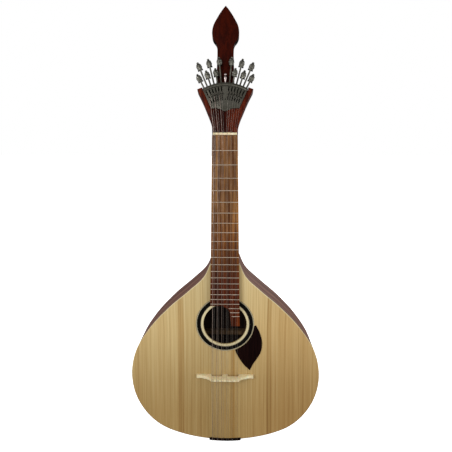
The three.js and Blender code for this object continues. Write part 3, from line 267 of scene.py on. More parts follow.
# Frames of the instrument, its neck, its head and its bridge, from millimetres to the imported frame
GUITAR = Matrix.Scale(MM, 4) @ shift(*pack_offset())
NECK_IN_GUITAR = shift(0, 0, BODY_TOP) @ turn(-NECK_SET, "X")
NECK = GUITAR @ NECK_IN_GUITAR
HEAD = NECK @ shift(0, 0, NECK_TOP) @ turn(-HEAD_TILT, "X")
BRIDGE = GUITAR @ shift(0, -GAP, BRIDGE_LEVEL) @ turn(90, "X")


def from_middle(index):
    """How many lanes lie between one tuning screw and the middle of the fan"""
    return STRINGS // 2 - 1 - index if index < STRINGS // 2 else index - STRINGS // 2


def lane(index, depth=0.0):
    """The frame of one tuning screw: Z runs outwards along it from the centre of the fan"""
    degrees = (FAN_FIRST + FAN_STEP * from_middle(index)) * (-1 if index < STRINGS // 2 else 1)
    return HEAD @ shift(0, depth, FAN_CENTRE) @ turn(degrees, "Y")


# Curves and outlines, as lists of points

def smooth(points, steps):
    """Points on a smooth curve through the given ones, with steps to each stretch"""
    points = [Vector(point) for point in points]
    ends = [points[0] * 2 - points[1], *points, points[-1] * 2 - points[-2]]
    found = []
    for k in range(len(points) - 1):
        a, b, c, d = ends[k:k + 4]
        ab, bc, cd = ((b - a).length ** 0.5, (c - b).length ** 0.5, (d - c).length ** 0.5)
        leave = ((b - a) / ab - (c - a) / (ab + bc) + (c - b) / bc) * bc
        enter = ((c - b) / bc - (d - b) / (bc + cd) + (d - c) / cd) * bc
        for i in range(steps):
            t = i / steps
            found.append(
                b + leave * t + (c * 3 - b * 3 - leave * 2 - enter) * t * t
                + (b * 2 - c * 2 + leave + enter) * t ** 3
            )
    return found + [points[-1]]


def mirrored(points):
    return [Vector((-point[0], point[1])) for point in reversed(points)]


def spread(shares, left, width, foot, length):
    """Points from a list of shares"""
    return [Vector((left + width * across, foot + length * up)) for across, up in shares]


def body_outline(inset, steps=10):
    """The body's edge from the treble side of the heel round the tail to the bass side"""
    treble = spread(BODY_SHARES, 0, BODY_HALF_WIDTH, BODY_TOP, -BODY_LENGTH)
    edge = smooth(treble + mirrored(treble)[1:], steps)
    moved = []
    for k, point in enumerate(edge):
        along = (edge[min(k + 1, len(edge) - 1)] - edge[max(k - 1, 0)]).normalized()
        moved.append(point + Vector((along[1], -along[0])) * inset)
    return moved


def back_depth(x, inset):
    """How deep the arched back lies at x, less the inset"""
    return BODY_DEPTH - inset - BACK_RISE * (x / BODY_HALF_WIDTH) ** 2


def arc_points(radius, start_x, end_x, steps):
    """Points on a circle round the centre of the fan, between two widths"""
    first, last = math.asin(start_x / radius), math.asin(end_x / radius)
    angles = [first + (last - first) * k / steps for k in range(steps + 1)]
    return [Vector((radius * math.sin(angle), FAN_CENTRE + radius * math.cos(angle))) for angle in angles]


def circle_points(radius, height, steps):
    """Points on a circle round a height on the middle line"""
    angles = [2 * math.pi * k / steps for k in range(steps)]
    return [Vector((radius * math.cos(angle), height + radius * math.sin(angle))) for angle in angles]


def board_half(height):
    """Half the fingerboard's width at a height in the neck's frame"""
    widening = (BOARD_OCTAVE_WIDTH - BOARD_NUT_WIDTH) / OCTAVE_LENGTH
    return (BOARD_NUT_WIDTH + widening * (OCTAVE_LENGTH - height)) / 2


def course_offset(index, course_pitch, pair_pitch):
    """How far a string lies from the middle line"""
    return (index // 2 - 2.5) * course_pitch + (index % 2 - 0.5) * pair_pitch


def string_radius(index):
    return bpy.context.scene.guitar_sizes.thickest_string / MM * GAUGE_SHARES[index] / 2


def tail_height(x, outset):
    """The height of the body's lower edge at x, moved outwards"""
    edge = body_outline(-outset, 24)
    for (x0, z0), (x1, z1) in zip(edge, edge[1:]):
        if z0 < HOLE_HEIGHT and x0 >= x > x1:
            return z0 + (z1 - z0) * (x - x0) / (x1 - x0)
    raise ValueError("no place on the tail at that width")


def tray_outline(grow):
    """The tuning machine's edge: a bracket-shaped foot, slanted sides and the arc on top"""
    foot = spread(TRAY_FOOT_SHARES, 0, TRAY_HALF_FOOT + grow, TRAY_POINT - grow, TRAY_FOOT_RISE)
    curve = smooth(foot[:4], 4) + [foot[4]]
    half_top = TRAY_HALF_TOP + grow
    return curve + arc_points(ARC_RADIUS + grow, half_top, -half_top, 48) + mirrored(curve)[:-1]


# How a piece is made

MERGE = (bpy.ops.mesh.remove_doubles, {"threshold": 0.0005})
CLOSE = (bpy.ops.mesh.fill_holes, {"sides": 0})
OUTWARDS = (bpy.ops.mesh.normals_make_consistent, {"inside": False})


def start():
    """Object mode with nothing selected, as every piece begins"""
    if bpy.context.mode != "OBJECT":
        bpy.ops.object.mode_set(mode="OBJECT")
    bpy.ops.object.select_all(action="DESELECT")


def hold(piece):
    """Selects one piece alone and makes it the active one"""
    start()
    piece.select_set(True)
    bpy.context.view_layer.objects.active = piece


def edit(piece, *steps):
    """Takes each step, an operator with its settings, on all of the mesh in edit mode"""
    hold(piece)
    bpy.ops.object.mode_set(mode="EDIT")
    for operator, settings in steps:
        bpy.ops.mesh.select_all(action="SELECT")
        operator(**settings)
    bpy.ops.object.mode_set(mode="OBJECT")


def shaped(name, spots):
    """Names the primitive just added and moves its points to their spots"""
    piece = bpy.context.object
    piece.name = piece.data.name = name
    piece.data.vertices.foreach_set("co", [number for spot in spots for number in spot])
    return piece


def skin(name, rings, looped=False, marks=None):
    """A grid laid over closed rings of points; marks are numbers kept on the points for the material"""
    start()
    rows, sides = [*rings, rings[0]] if looped else rings, len(rings[0])
    bpy.ops.mesh.primitive_grid_add(x_subdivisions=sides, y_subdivisions=len(rows) - 1, size=1)
    piece = shaped(name, [spot for ring in rows for spot in (*ring, ring[0])])
    for label, values in (marks or {}).items():
        kept = piece.data.attributes.new(label, "FLOAT", "POINT")
        values = [*values, values[0]][:len(rows)]
        kept.data.foreach_set("value", [value for value in values for _ in range(sides + 1)])
    edit(piece, *((MERGE, OUTWARDS) if looped else (MERGE, CLOSE, OUTWARDS)))
    return piece


def plate(name, outline, front, back):
    """A flat plate: a filled circle whose points are moved onto the outline, then extruded in depth"""
    start()
    bpy.ops.mesh.primitive_circle_add(vertices=len(outline), radius=1, fill_type="NGON")
    piece = shaped(name, [(x, front, z) for x, z in outline])
    deeper = {"TRANSFORM_OT_translate": {"value": (0, back - front, 0)}}
    edit(piece, (bpy.ops.mesh.extrude_region_move, deeper), OUTWARDS)
    return piece


def across_plate(name, profile, left, right):
    """A bar across the instrument, from a profile of depths and heights"""
    piece = plate(name, [Vector((height, depth)) for depth, height in profile], left, right)
    piece.data.transform(Matrix(((0, 1, 0, 0), (0, 0, 1, 0), (1, 0, 0, 0), (0, 0, 0, 1))))
    return piece


def turned(name, profile, steps=24):
    """A turned piece: a line of points, each a radius and a height, spun round Z"""
    start()
    bpy.ops.mesh.primitive_grid_add(x_subdivisions=len(profile) - 1, y_subdivisions=1, size=1)
    piece = shaped(name, [(radius, 0, height) for radius, height in profile + profile])
    round_z = {"steps": steps, "angle": 2 * math.pi, "center": (0, 0, 0), "axis": (0, 0, 1)}
    edit(piece, MERGE)
    edit(piece, (bpy.ops.mesh.delete, {"type": "ONLY_FACE"}), (bpy.ops.mesh.spin, round_z))
    edit(piece, MERGE, CLOSE, OUTWARDS)
    return piece


def block(name, low, high):
    """A box between two corners"""
    start()
    low, high = Vector(low), Vector(high)
    middle, size = (low + high) / 2, high - low
    bpy.ops.mesh.primitive_cube_add(size=1)
    corners = [vertex.co.copy() for vertex in bpy.context.object.data.vertices]
    return shaped(name, [[middle[k] + corner[k] * size[k] for k in range(3)] for corner in corners])


def tube(name, path, radius, sides=10):
    """A round wire along a path"""
    rings = []
    side = Vector((1, 0, 0))
    angles = [2 * math.pi * j / sides for j in range(sides)]
    for k, point in enumerate(path):
        along = (path[min(k + 1, len(path) - 1)] - path[max(k - 1, 0)]).normalized()
        side = (side - along * side.dot(along)).normalized()
        up = along.cross(side)
        rings.append([point + (side * math.cos(t) + up * math.sin(t)) * radius for t in angles])
    return skin(name, rings)


def tail_band(name, width, section):
    """A strip bent round the tail"""
    rings = []
    for k in range(TAIL_STEPS + 1):
        x = width / 2 - width * k / TAIL_STEPS
        rings.append([(x, depth, tail_height(x, out)) for out, depth in section])
    return skin(name, rings)


def finish_with(piece, kind, **settings):
    """Adds one modifier, sets it and applies it"""
    hold(piece)
    step = piece.modifiers.new(kind.lower(), kind)
    for key, value in settings.items():
        setattr(step, key, value)
    bpy.ops.object.modifier_apply(modifier=step.name)


def combine(piece, tool, operation="DIFFERENCE"):
    """Cuts one piece with another, or crosses them, and removes the other"""
    finish_with(piece, "BOOLEAN", object=tool, operation=operation, solver="EXACT")
    bpy.data.meshes.remove(tool.data)


def disc(radius, height, sides=192, reach=(-CUT_REACH, CUT_REACH)):
    """A round cutter on the middle line"""
    return plate("cutter", circle_points(radius, height, sides), *reach)


def bore(piece, radius, place=Matrix(), reach=(-5, 5), sides=12):
    """Drills a round hole or notch, along Z until its place turns it"""
    low, high = reach
    drill = turned("cutter", [(0, low), (radius, low), (radius, high), (0, high)], sides)
    drill.data.transform(place)
    combine(piece, drill)


def round_edges(piece, width, segments=2, angle=50):
    finish_with(
        piece, "BEVEL", width=width, segments=segments, limit_method="ANGLE", angle_limit=math.radians(angle),
        use_clamp_overlap=True, miter_outer="MITER_ARC" if segments > 2 else "MITER_SHARP",
    )


def joined(name, pieces):
    """Several pieces made one object"""
    start()
    for piece in pieces:
        piece.select_set(True)
    bpy.context.view_layer.objects.active = pieces[0]
    bpy.ops.object.join()
    pieces[0].name = pieces[0].data.name = name
    return pieces[0]


def copy_of(piece, name):
    """A copy with its own mesh"""
    twin = bpy.data.objects.new(name, piece.data.copy())
    twin.data.name = name
    bpy.context.scene.collection.objects.link(twin)
    return twin


def paint(piece, *names):
    """Gives a piece its finishes in place of what it had"""
    piece.data.materials.clear()
    for name in names:
        piece.data.materials.append(finish(name))
    return piece


def settle(piece, place, node=None, body="instrument", smooth_by=40):
    """Puts a piece's place into its mesh, shades it, and lets it ride on its body in place of a CAD node"""
    piece.data.transform(place)
    hold(piece)
    bpy.ops.object.shade_smooth_by_angle(angle=math.radians(smooth_by))
    if body:
        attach(piece, body)
    if node:
        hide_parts(node)


# How a finish is made

def linear(code):
    """An sRGB hex colour as linear numbers with full alpha"""
    parts = [int(code[k:k + 2], 16) / 255 for k in (1, 3, 5)]
    return (*[part / 12.92 if part <= 0.04045 else ((part + 0.055) / 1.055) ** 2.4 for part in parts], 1.0)


def socket(sockets, key):
    """A socket by its number, its identifier or its name"""
    if isinstance(key, int):
        return sockets[key]
    for item in sockets:
        if key in (item.identifier, item.name):
            return item
    raise KeyError(key)


def add(tree, kind, settings=None, links=None, stops=None, stepped=False, out=0):
    """Adds a shader node, sets its properties, sockets and colour stops, links the sockets that others feed,
    and gives back one of its outputs, or all of them"""
    made = tree.nodes.new("ShaderNode" + kind)
    for key, value in (settings or {}).items():
        if isinstance(key, str) and hasattr(made, key):
            setattr(made, key, value)
        else:
            socket(made.inputs, key).default_value = value
    for key, source in (links or {}).items():
        tree.links.new(source, socket(made.inputs, key))
    if stops:
        made.color_ramp.interpolation = "CONSTANT" if stepped else "LINEAR"
        items = made.color_ramp.elements
        while len(items) < len(stops):
            items.new(0.5)
        for item, (place, colour) in zip(items, stops):
            item.position = place
            item.color = linear(colour) if isinstance(colour, str) else (*colour, 1.0)
    return made.outputs if out is None else socket(made.outputs, out)


def blank(name, **uniform):
    """A new material with only its shader, whose uniform values are set on the shader itself"""
    material = bpy.data.materials.new(name)
    material.use_nodes = True
    shader = material.node_tree.nodes["Principled BSDF"]
    for key, value in uniform.items():
        shader.inputs[key.replace("_", " ")].default_value = value
    return material, material.node_tree, shader


def in_millimetres(tree):
    """Where a point of the surface lies, in millimetres"""
    where = add(tree, "TexCoord", out="Object")
    return add(tree, "Mapping", {"Scale": (1 / MM, 1 / MM, 1 / MM)}, {"Vector": where})


def layered(tree, layers):
    """Colours multiplied with one another; a layer is a colour, or a number and the stops that it runs through"""
    colours = [
        add(tree, "ValToRGB", links={"Fac": layer[0]}, stops=layer[1]) if isinstance(layer, tuple) else layer
        for layer in layers]
    product = colours[0]
    for colour in colours[1:]:
        product = add(tree, "Mix", {"data_type": "RGBA", "blend_type": "MULTIPLY", "Factor_Float": 1.0},
                      {"A_Color": product, "B_Color": colour}, out=2)
    return product


def dress(tree, shader, colour, rough, relief, depth):
    """Feeds the colour, the roughness and a relief to the shader. The roughness is a number, the two values
    that it runs between, and the share of the number where it starts and ends"""
    source, low, high, *span = rough
    first, last = span or (0, 1)
    run = add(tree, "MapRange", {"From Min": first, "From Max": last, "To Min": low, "To Max": high},
              {"Value": source})
    bump = add(tree, "Bump", {"Strength": 0.5, "Distance": depth * MM}, {"Height": relief})
    for key, made in (("Base Color", colour), ("Roughness", run), ("Normal", bump)):
        tree.links.new(made, shader.inputs[key])


PORE_DEPTH = 0.05


def timber(name, dark, light, ring, fibre, length, roughness, gloss, cut="straight", shades=()):
    """A board along Z of two tones in long rings, with darker fibres and open pores as a shallow relief.
    Rings, fibres and their length are in millimetres. Each shade is an axis, where it starts and ends, and
    the colours that darken the wood between them"""
    material, tree, shader = blank(name, Specular_IOR_Level=gloss)
    laid = in_millimetres(tree)
    if cut == "matched":
        # Two halves opened like a book, so the figure mirrors at the middle
        laid = add(tree, "VectorMath", {"operation": "ABSOLUTE"}, {0: laid})
    if cut == "bent":
        # The grain follows the band round the body
        depth = add(tree, "SeparateXYZ", links={"Vector": laid}, out="Y")
        along = add(tree, "Attribute", {"attribute_name": "along"}, out="Fac")
        laid = add(tree, "CombineXYZ", links={"X": depth, "Z": along})
    figures = []
    for size, stretch, detail, broken in ((ring, ring / length, 3.0, 0.6), (fibre, fibre / length * 3, 2.0, 0.55)):
        drawn = add(tree, "Mapping", {"Scale": (1, 1, stretch)}, {"Vector": laid})
        figures.append(add(tree, "TexNoise", {"Scale": 1 / size, "Detail": detail, "Roughness": broken},
                           {"Vector": drawn}))
    rings, fibres = figures
    layers = [(rings, [(0.38, dark), (0.62, light)]), (fibres, [(0.33, "#C4BEB8"), (0.6, "#FFFFFF")])]
    apart = add(tree, "SeparateXYZ", links={"Vector": laid}, out=None)
    for axis, first, last, stops in shades:
        share = add(tree, "MapRange", {"From Min": first, "From Max": last}, {"Value": apart[axis]})
        layers.append((share, stops))
    dress(tree, shader, layered(tree, layers), (fibres, roughness - 0.08, roughness + 0.1), fibres, PORE_DEPTH)
    return material


def oiled_spruce(name, light, ring):
    """Thin oil over quarter-sawn spruce: satin, straight narrow rings, pale honey, with painted shade browning it
    towards the tail
    """
    material, tree, shader = blank(name, Specular_IOR_Level=0.25)
    apart = add(tree, "SeparateXYZ", links={"Vector": in_millimetres(tree)}, out=None)
    # The grain spreads outwards a little towards the tail
    down = add(tree, "MapRange", {"From Min": -400, "From Max": -680, "To Min": 1.0, "To Max": 0.93},
               {"Value": apart["Z"]})
    narrowed = add(tree, "Math", {"operation": "MULTIPLY"}, {0: apart["X"], 1: down})
    along = add(tree, "Math", {"operation": "MULTIPLY", 1: 0.006}, {0: apart["Z"]})
    drawn = add(tree, "CombineXYZ", links={"X": narrowed, "Y": apart["Y"], "Z": along})
    # Real rings are about 1.5 mm apart, too fine for the picture, so they are drawn at 3 mm
    rings = add(tree, "TexNoise", {"Scale": 0.33, "Detail": 2.0, "Roughness": 0.7}, {"Vector": drawn})
    broad = add(tree, "TexNoise", {"Scale": 0.03, "Detail": 2.0, "Roughness": 0.5}, {"Vector": drawn})
    fibre = add(tree, "TexNoise", {"Scale": 1.1, "Detail": 2.0}, {"Vector": drawn})
    across = add(tree, "MapRange", {"From Min": -192, "From Max": 192}, {"Value": narrowed})
    towards_tail = add(tree, "MapRange", {"From Min": -300, "From Max": -660}, {"Value": apart["Z"]})
    wood = layered(tree, [
        (rings, [(0.30, ring), (0.46, light), (0.72, "#D9C99C")]),
        (broad, [(0.35, "#F7F2EA"), (0.5, "#FAF8F3"), (0.65, "#FDFCFA")]),
        (fibre, [(0.35, "#EBE4D8"), (0.6, "#FFFFFF")]),
        # Groups of darker rings where this board has them, and its browner treble side
        (across, [
            (0.0, "#FFFFFF"), (0.256, "#FFFFFF"), (0.261, "#DDD0BD"), (0.266, "#F6F2EA"),
            (0.271, "#CDBA9F"), (0.277, "#F8F5F0"), (0.285, "#E3D8C6"), (0.291, "#F8F8F8"), (0.43, "#F4F4F2"),
            (0.455, "#FAFBFF"), (0.50, "#FCFBFC"), (0.508, "#FFFFFF"), (0.547, "#E6D6BA"), (0.552, "#FFFFFF"),
            (0.714, "#FBF6F0"), (0.721, "#CDB99D"), (0.727, "#F2EBE0"), (0.733, "#DAC8AD"), (0.74, "#F6EDE3"),
            (1.0, "#F6EDE4")]),
        # Browner towards the tail: painted shade, as the light falls off down the board
        (towards_tail, [(0.0, "#FFFFFF"), (0.25, "#F8F2EA"), (0.6, "#D9CEBD"), (0.8, "#CFC0A9"), (1.0, "#CEBEA5")]),
    ])
    # A thin edging runs round the board, pale at the shoulders and brown at the tail
    edging = layered(tree, [(towards_tail, [(0.0, "#DDD0A8"), (0.55, "#C2AE80"), (0.8, "#6B5034")])])
    rim = add(tree, "Attribute", {"attribute_name": "rim"}, out="Fac")
    edged = add(tree, "Mix", {"data_type": "RGBA"}, {"Factor_Float": rim, "A_Color": edging, "B_Color": wood},
                out=2)
    dress(tree, shader, edged, (fibre, 0.5, 0.68), fibre, 0.03)
    return material


def ring_inlay(name, light, dark):
    """Thin veneers and a fine wood mosaic let into the board, scraped level and oiled"""
    material, tree, shader = blank(name, Specular_IOR_Level=0.02)
    centre = GUITAR @ Vector((0, 0, HOLE_HEIGHT))
    where = add(tree, "TexCoord", out="Object")
    laid = add(tree, "Mapping", {"Location": (0, 0, -centre[2] / MM), "Scale": (1 / MM, 0, 1 / MM)},
               {"Vector": where})
    length = add(tree, "VectorMath", {"operation": "LENGTH"}, {"Vector": laid}, out="Value")
    radius = add(tree, "MapRange", {"From Min": HOLE_RADIUS, "From Max": ROSETTE_RADIUS}, {"Value": length})
    rings = add(tree, "ValToRGB", links={"Fac": radius}, stepped=True, stops=[
        (0.0, "#97845C"), (0.03, light), (0.33, "#6A5F50"), (0.38, "#33332B"), (0.43, dark), (0.8, "#33342A"),
        (0.885, "#B9AE92"), (0.97, "#6E6048")])
    apart = add(tree, "SeparateXYZ", links={"Vector": laid}, out=None)
    angle = add(tree, "Math", {"operation": "ARCTAN2"}, {0: apart["Z"], 1: apart["X"]})
    # One tick is about 2.2 mm long at its ring, and leans as the radius grows
    ticks = add(tree, "Math", {"operation": "MULTIPLY", 1: 140 / (2 * math.pi)}, {0: angle})
    leaning = add(tree, "Math", {"operation": "MULTIPLY_ADD", 1: 2.2}, {0: radius, 2: ticks})
    part = add(tree, "Math", {"operation": "FRACT"}, {0: leaning})
    tick = add(tree, "ValToRGB", links={"Fac": part}, stepped=True, stops=[(0.0, "#1C1A18"), (0.5, "#040303")])
    mosaic = add(tree, "ValToRGB", links={"Fac": radius}, stepped=True,
                 stops=[(0.0, "#000000"), (0.54, "#FFFFFF"), (0.66, "#000000")])
    mixed = add(tree, "Mix", {"data_type": "RGBA"}, {"Factor_Float": mosaic, "A_Color": rings, "B_Color": tick},
                out=2)
    ribbed = [(0.0, "#D0C8B8"), (0.4, "#FFFFFF"), (0.8, "#FFFFFF"), (1.0, "#D0C8B8")]
    noise = add(tree, "TexNoise", {"Scale": 1.2}, {"Vector": laid})
    dress(tree, shader, layered(tree, [mixed, (part, ribbed)]), (noise, 0.35, 0.55), rings, 0.05)
    return material


def polished_bone(name, tone):
    """Sawn and buffed cow bone: creamy, faintly waxy, with short fine pores along its length"""
    material, tree, shader = blank(name, Coat_Weight=0.2, Coat_Roughness=0.2, IOR=1.54,
                                   Subsurface_Weight=0.12, Subsurface_Scale=0.002)
    laid = in_millimetres(tree)
    cloud = add(tree, "TexNoise", {"Scale": 0.12, "Detail": 3.0}, {"Vector": laid})
    long = add(tree, "Mapping", {"Scale": (0.12, 1, 1)}, {"Vector": laid})
    pores = add(tree, "TexNoise", {"Scale": 2.2, "Detail": 1.0}, {"Vector": long})
    colour = layered(tree, [
        (cloud, [(0.3, "#DCCB9F"), (0.55, tone), (0.75, "#EADFC0")]),
        (pores, [(0.25, "#D2C4A4"), (0.36, "#FFFFFF")])])
    dress(tree, shader, colour, (cloud, 0.28, 0.45), pores, 0.02)
    return material


PIT_SIZE = 0.8


def metal(name, dark, light, roughness, patch, relief=0.02):
    """Worn plating or wire: soft patches of two tones, duller where it is dark, with shallow pits. The dark
    tone may be a share of the light one"""
    material, tree, shader = blank(name, Metallic=1.0)
    if isinstance(dark, float):
        dark = [part * dark for part in light]
    laid = in_millimetres(tree)
    cloud = add(tree, "TexNoise", {"Scale": 1 / patch, "Detail": 4.0, "Roughness": 0.55}, {"Vector": laid})
    small = add(tree, "TexNoise", {"Scale": 1 / PIT_SIZE, "Detail": 3.0}, {"Vector": laid})
    dress(tree, shader, layered(tree, [(cloud, [(0.3, dark), (0.7, light)])]),
          (cloud, roughness + 0.1, roughness - 0.05, 0.35, 0.65), small, relief)
    return material


# What makes each finish, the names or codes of its tones, and its numbers in the maker's order
FINISHES = {
    "oiled_spruce": (oiled_spruce, "spruce", "spruce_ring"),
    "ring_inlay": (ring_inlay, "inlay_light", "inlay_dark"),
    "polished_bone": (polished_bone, "bone"),
    # Dark rosewood under worn oil: warm greyish brown with darker veins
    "oiled_rosewood": (timber, "rosewood_vein", "rosewood", 7, 1.1, 160, 0.55, 0.2, "matched"),
    # The same wood bent over a hot iron for the sides
    "bent_rosewood": (timber, "rosewood_vein", "rosewood", 4.5, 1.1, 260, 0.55, 0.2, "bent"),
    # The same wood left bare inside the body, dull, and painted near black as the shade inside the body
    "bare_rosewood": (timber, "#1A100D", "#30201A", 7, 1.1, 160, 0.85, 0.1),
    # Bare reddish cedar inside the body, greyed
    "bare_cedar": (timber, "#4A3726", "#6E563C", 5, 0.9, 120, 0.8, 0.1),
    # Mahogany stained dark red brown: satin, long streaks, darker on the bass side and at the head's top
    "stained_mahogany": (timber, "neck_vein", "neck_wood", 5, 0.8, 110, 0.42, 0.05, "straight", [
        ("X", -50, 50, [(0.0, "#E6DCD4"), (0.22, "#D2C4BA"), (0.28, "#907E74"), (0.5, "#8E7C72"),
                        (0.56, "#E0D6CC"), (0.78, "#F4EEE8"), (0.9, "#C4B0A4")]),
        ("Z", 60, 125, [(0.0, "#FFFFFF"), (1.0, "#CC9880")])]),
    # The teardrop took the stain deeper and evenly, so its streaks hardly show
    "deep_mahogany": (timber, "drop_vein", "drop_wood", 5, 0.8, 110, 0.5, 0.03),
    # Painted shade: the same wood near black along the rounded edges of the head, which turn away from the light
    "edge_mahogany": (timber, "#0A0201", "#180603", 5, 0.8, 110, 0.55, 0.02),
    # Rosewood of the fingerboard: lighter and tan near the nut, partly as painted sheen on the upper board, dark red
    # brown lower down; the cooler grey on the bass side is painted sheen
    "board_rosewood": (timber, "board_vein", "board_wood", 4.4, 0.9, 200, 0.5, 0.1, "straight", [
        ("Z", -28, -390, [(0.0, "#FAEAE0"), (0.15, "#FFF2DC"), (0.34, "#FFF0D8"), (0.525, "#F2D0AC"),
                          (0.655, "#C6A083"), (0.74, "#AC6E56"), (0.86, "#A26248"), (0.91, "#B07050"),
                          (1.0, "#BC7644")]),
        ("X", -28, 28, [(0.0, "#E8ECFF"), (0.2, "#F2F0F4"), (0.5, "#EEE8E4"), (1.0, "#FFFAF0")])]),
    # Stained black-brown hardwood, waxed thinly
    "black_hardwood": (timber, "leaf_vein", "leaf", 3, 0.6, 60, 0.5, 0.04),
    # Plated brass of the tuning machine, dulled by age to an even grey green
    "aged_plating": (metal, "plating_dark", "plating", 0.42, 14, 0.015),
    # Knobs cast from the same metal, in soft patches of dark and light grey
    "cast_plating": (metal, "#26251F", "#7E7C73", 0.48, 3),
    # Threads, small screws and the knobs' lobes: near black with old grease, and painted shade inside the cover's
    # slots and beside the knobs' shafts
    "greased_steel": (metal, "#090807", "#171512", 0.55, 4),
    # Handled steel of the hooks, the string loops and the tail plate
    "handled_steel": (metal, "#35322C", "#57534B", 0.4, 4, 0.01),
    # Polished nickel of the post, brighter than the rest
    "bright_nickel": (metal, "#7E7270", "#BEB0AC", 0.22, 6, 0.005),
    # Plain steel wire of the treble strings
    "plain_wire": (metal, 0.7, "steel", 0.45, 8, 0.004),
    # Bronze wire wound on the bass strings, browned a little
    "wound_bronze": (metal, 0.6, "bronze", 0.5, 8, 0.01),
    # Nickel silver of the fret wires, polished along the crown
    "nickel_silver": (metal, 0.7, "fret_wire", 0.5, 5, 0.004),
}


def finish(name):
    """The finish of that name, made when it is first asked for"""
    if name in bpy.data.materials:
        return bpy.data.materials[name]
    make, *values = FINISHES[name]
    colours, settings = bpy.context.scene.guitar_colours, list(GuitarColours.__annotations__)
    return make(name, *[getattr(colours, value) if value in settings else value for value in values])


# What a user may change

def colour_setting(label, description, code):
    """A colour that a user may change, given as an sRGB hex code"""
    return bpy.props.FloatVectorProperty(
        name=label, description=description, subtype="COLOR", size=3, min=0, max=1, default=linear(code)[:3])


def length_setting(label, description, millimetres, least, most):
    """A length that a user may change"""
    return bpy.props.FloatProperty(
        name=label, description=description, subtype="DISTANCE", unit="LENGTH", precision=5,
        default=millimetres * MM, min=least * MM, max=most * MM)


class GuitarSizes(bpy.types.PropertyGroup):
    """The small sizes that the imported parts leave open"""
    board_edge: length_setting("Soundboard edge", "How far the soundboard's edge is rounded", 0.5, 0.1, 1.2)
    leaf_edge: length_setting("Leaf plate edge", "How far the leaf-shaped plate's edge is rounded", 0.45, 0.1, 0.55)
    head_edge: length_setting("Head edge", "How far the edges of the head's wings are rounded", 0.9, 0.2, 2)
    drop_edge: length_setting("Teardrop edge", "How far the edge of the teardrop is rounded", 3.0, 0.5, 4)
    fret_width: length_setting("Fret width", "Width of a fret wire's crown", 1.05, 0.8, 2.4)
    fret_height: length_setting("Fret height", "Height of a fret wire over the board", 1.0, 0.5, 1.2)
    thread_pitch: length_setting("Thread pitch", "Pitch of the tuning screws' threads", 0.8, 0.6, 1.2)
    knob_relief: length_setting("Knob relief", "Depth of the hollows cast in a knob", 0.5, 0.1, 1)
    thickest_string: length_setting("Thickest string", "Diameter of the lowest wound string", 0.95, 0.8, 1.0)


class GuitarColours(bpy.types.PropertyGroup):
    """The tones of the materials"""
    spruce: colour_setting("Spruce", "Wood of the soundboard between its rings", "#D2BD8C")
    spruce_ring: colour_setting("Spruce rings", "Year rings of the soundboard", "#C1AA79")
    rosewood: colour_setting("Rosewood", "Light tone of the ribs and the back", "#936757")
    rosewood_vein: colour_setting("Rosewood veins", "Dark veins of the ribs and the back", "#5E3C31")
    neck_wood: colour_setting("Neck wood", "Light tone of the stained neck and head", "#6C2C16")
    neck_vein: colour_setting("Neck veins", "Dark streaks of the stained neck and head", "#42130A")
    drop_wood: colour_setting("Teardrop", "Light tone of the stained teardrop", "#3A0D03")
    drop_vein: colour_setting("Teardrop veins", "Dark streaks of the stained teardrop", "#2A0803")
    board_wood: colour_setting("Fingerboard", "Light tone of the fingerboard", "#A07A4C")
    board_vein: colour_setting("Fingerboard veins", "Dark stripes of the fingerboard", "#5C3A1A")
    leaf: colour_setting("Leaf plate", "Light tone of the leaf-shaped plate and the tail strip", "#180705")
    leaf_vein: colour_setting("Leaf plate veins", "Dark tone of the leaf-shaped plate and the tail strip", "#0B0202")
    inlay_light: colour_setting("Light inlay", "Pale ring of the rosette", "#D8CBA4")
    inlay_dark: colour_setting("Dark inlay", "Black rings of the rosette", "#040303")
    bone: colour_setting("Bone", "Nut and bridge", "#DCCDA4")
    plating: colour_setting("Plating", "Light tone of the tuning machine's plating", "#5A5850")
    plating_dark: colour_setting("Dull plating", "Dark tone of the tuning machine's plating", "#45433B")
    fret_wire: colour_setting("Fret wire", "Crowns of the frets", "#FFF6E2")
    bronze: colour_setting("Bronze wire", "Winding of the bass strings", "#B4A298")
    steel: colour_setting("Steel wire", "Plain strings", "#9C948C")


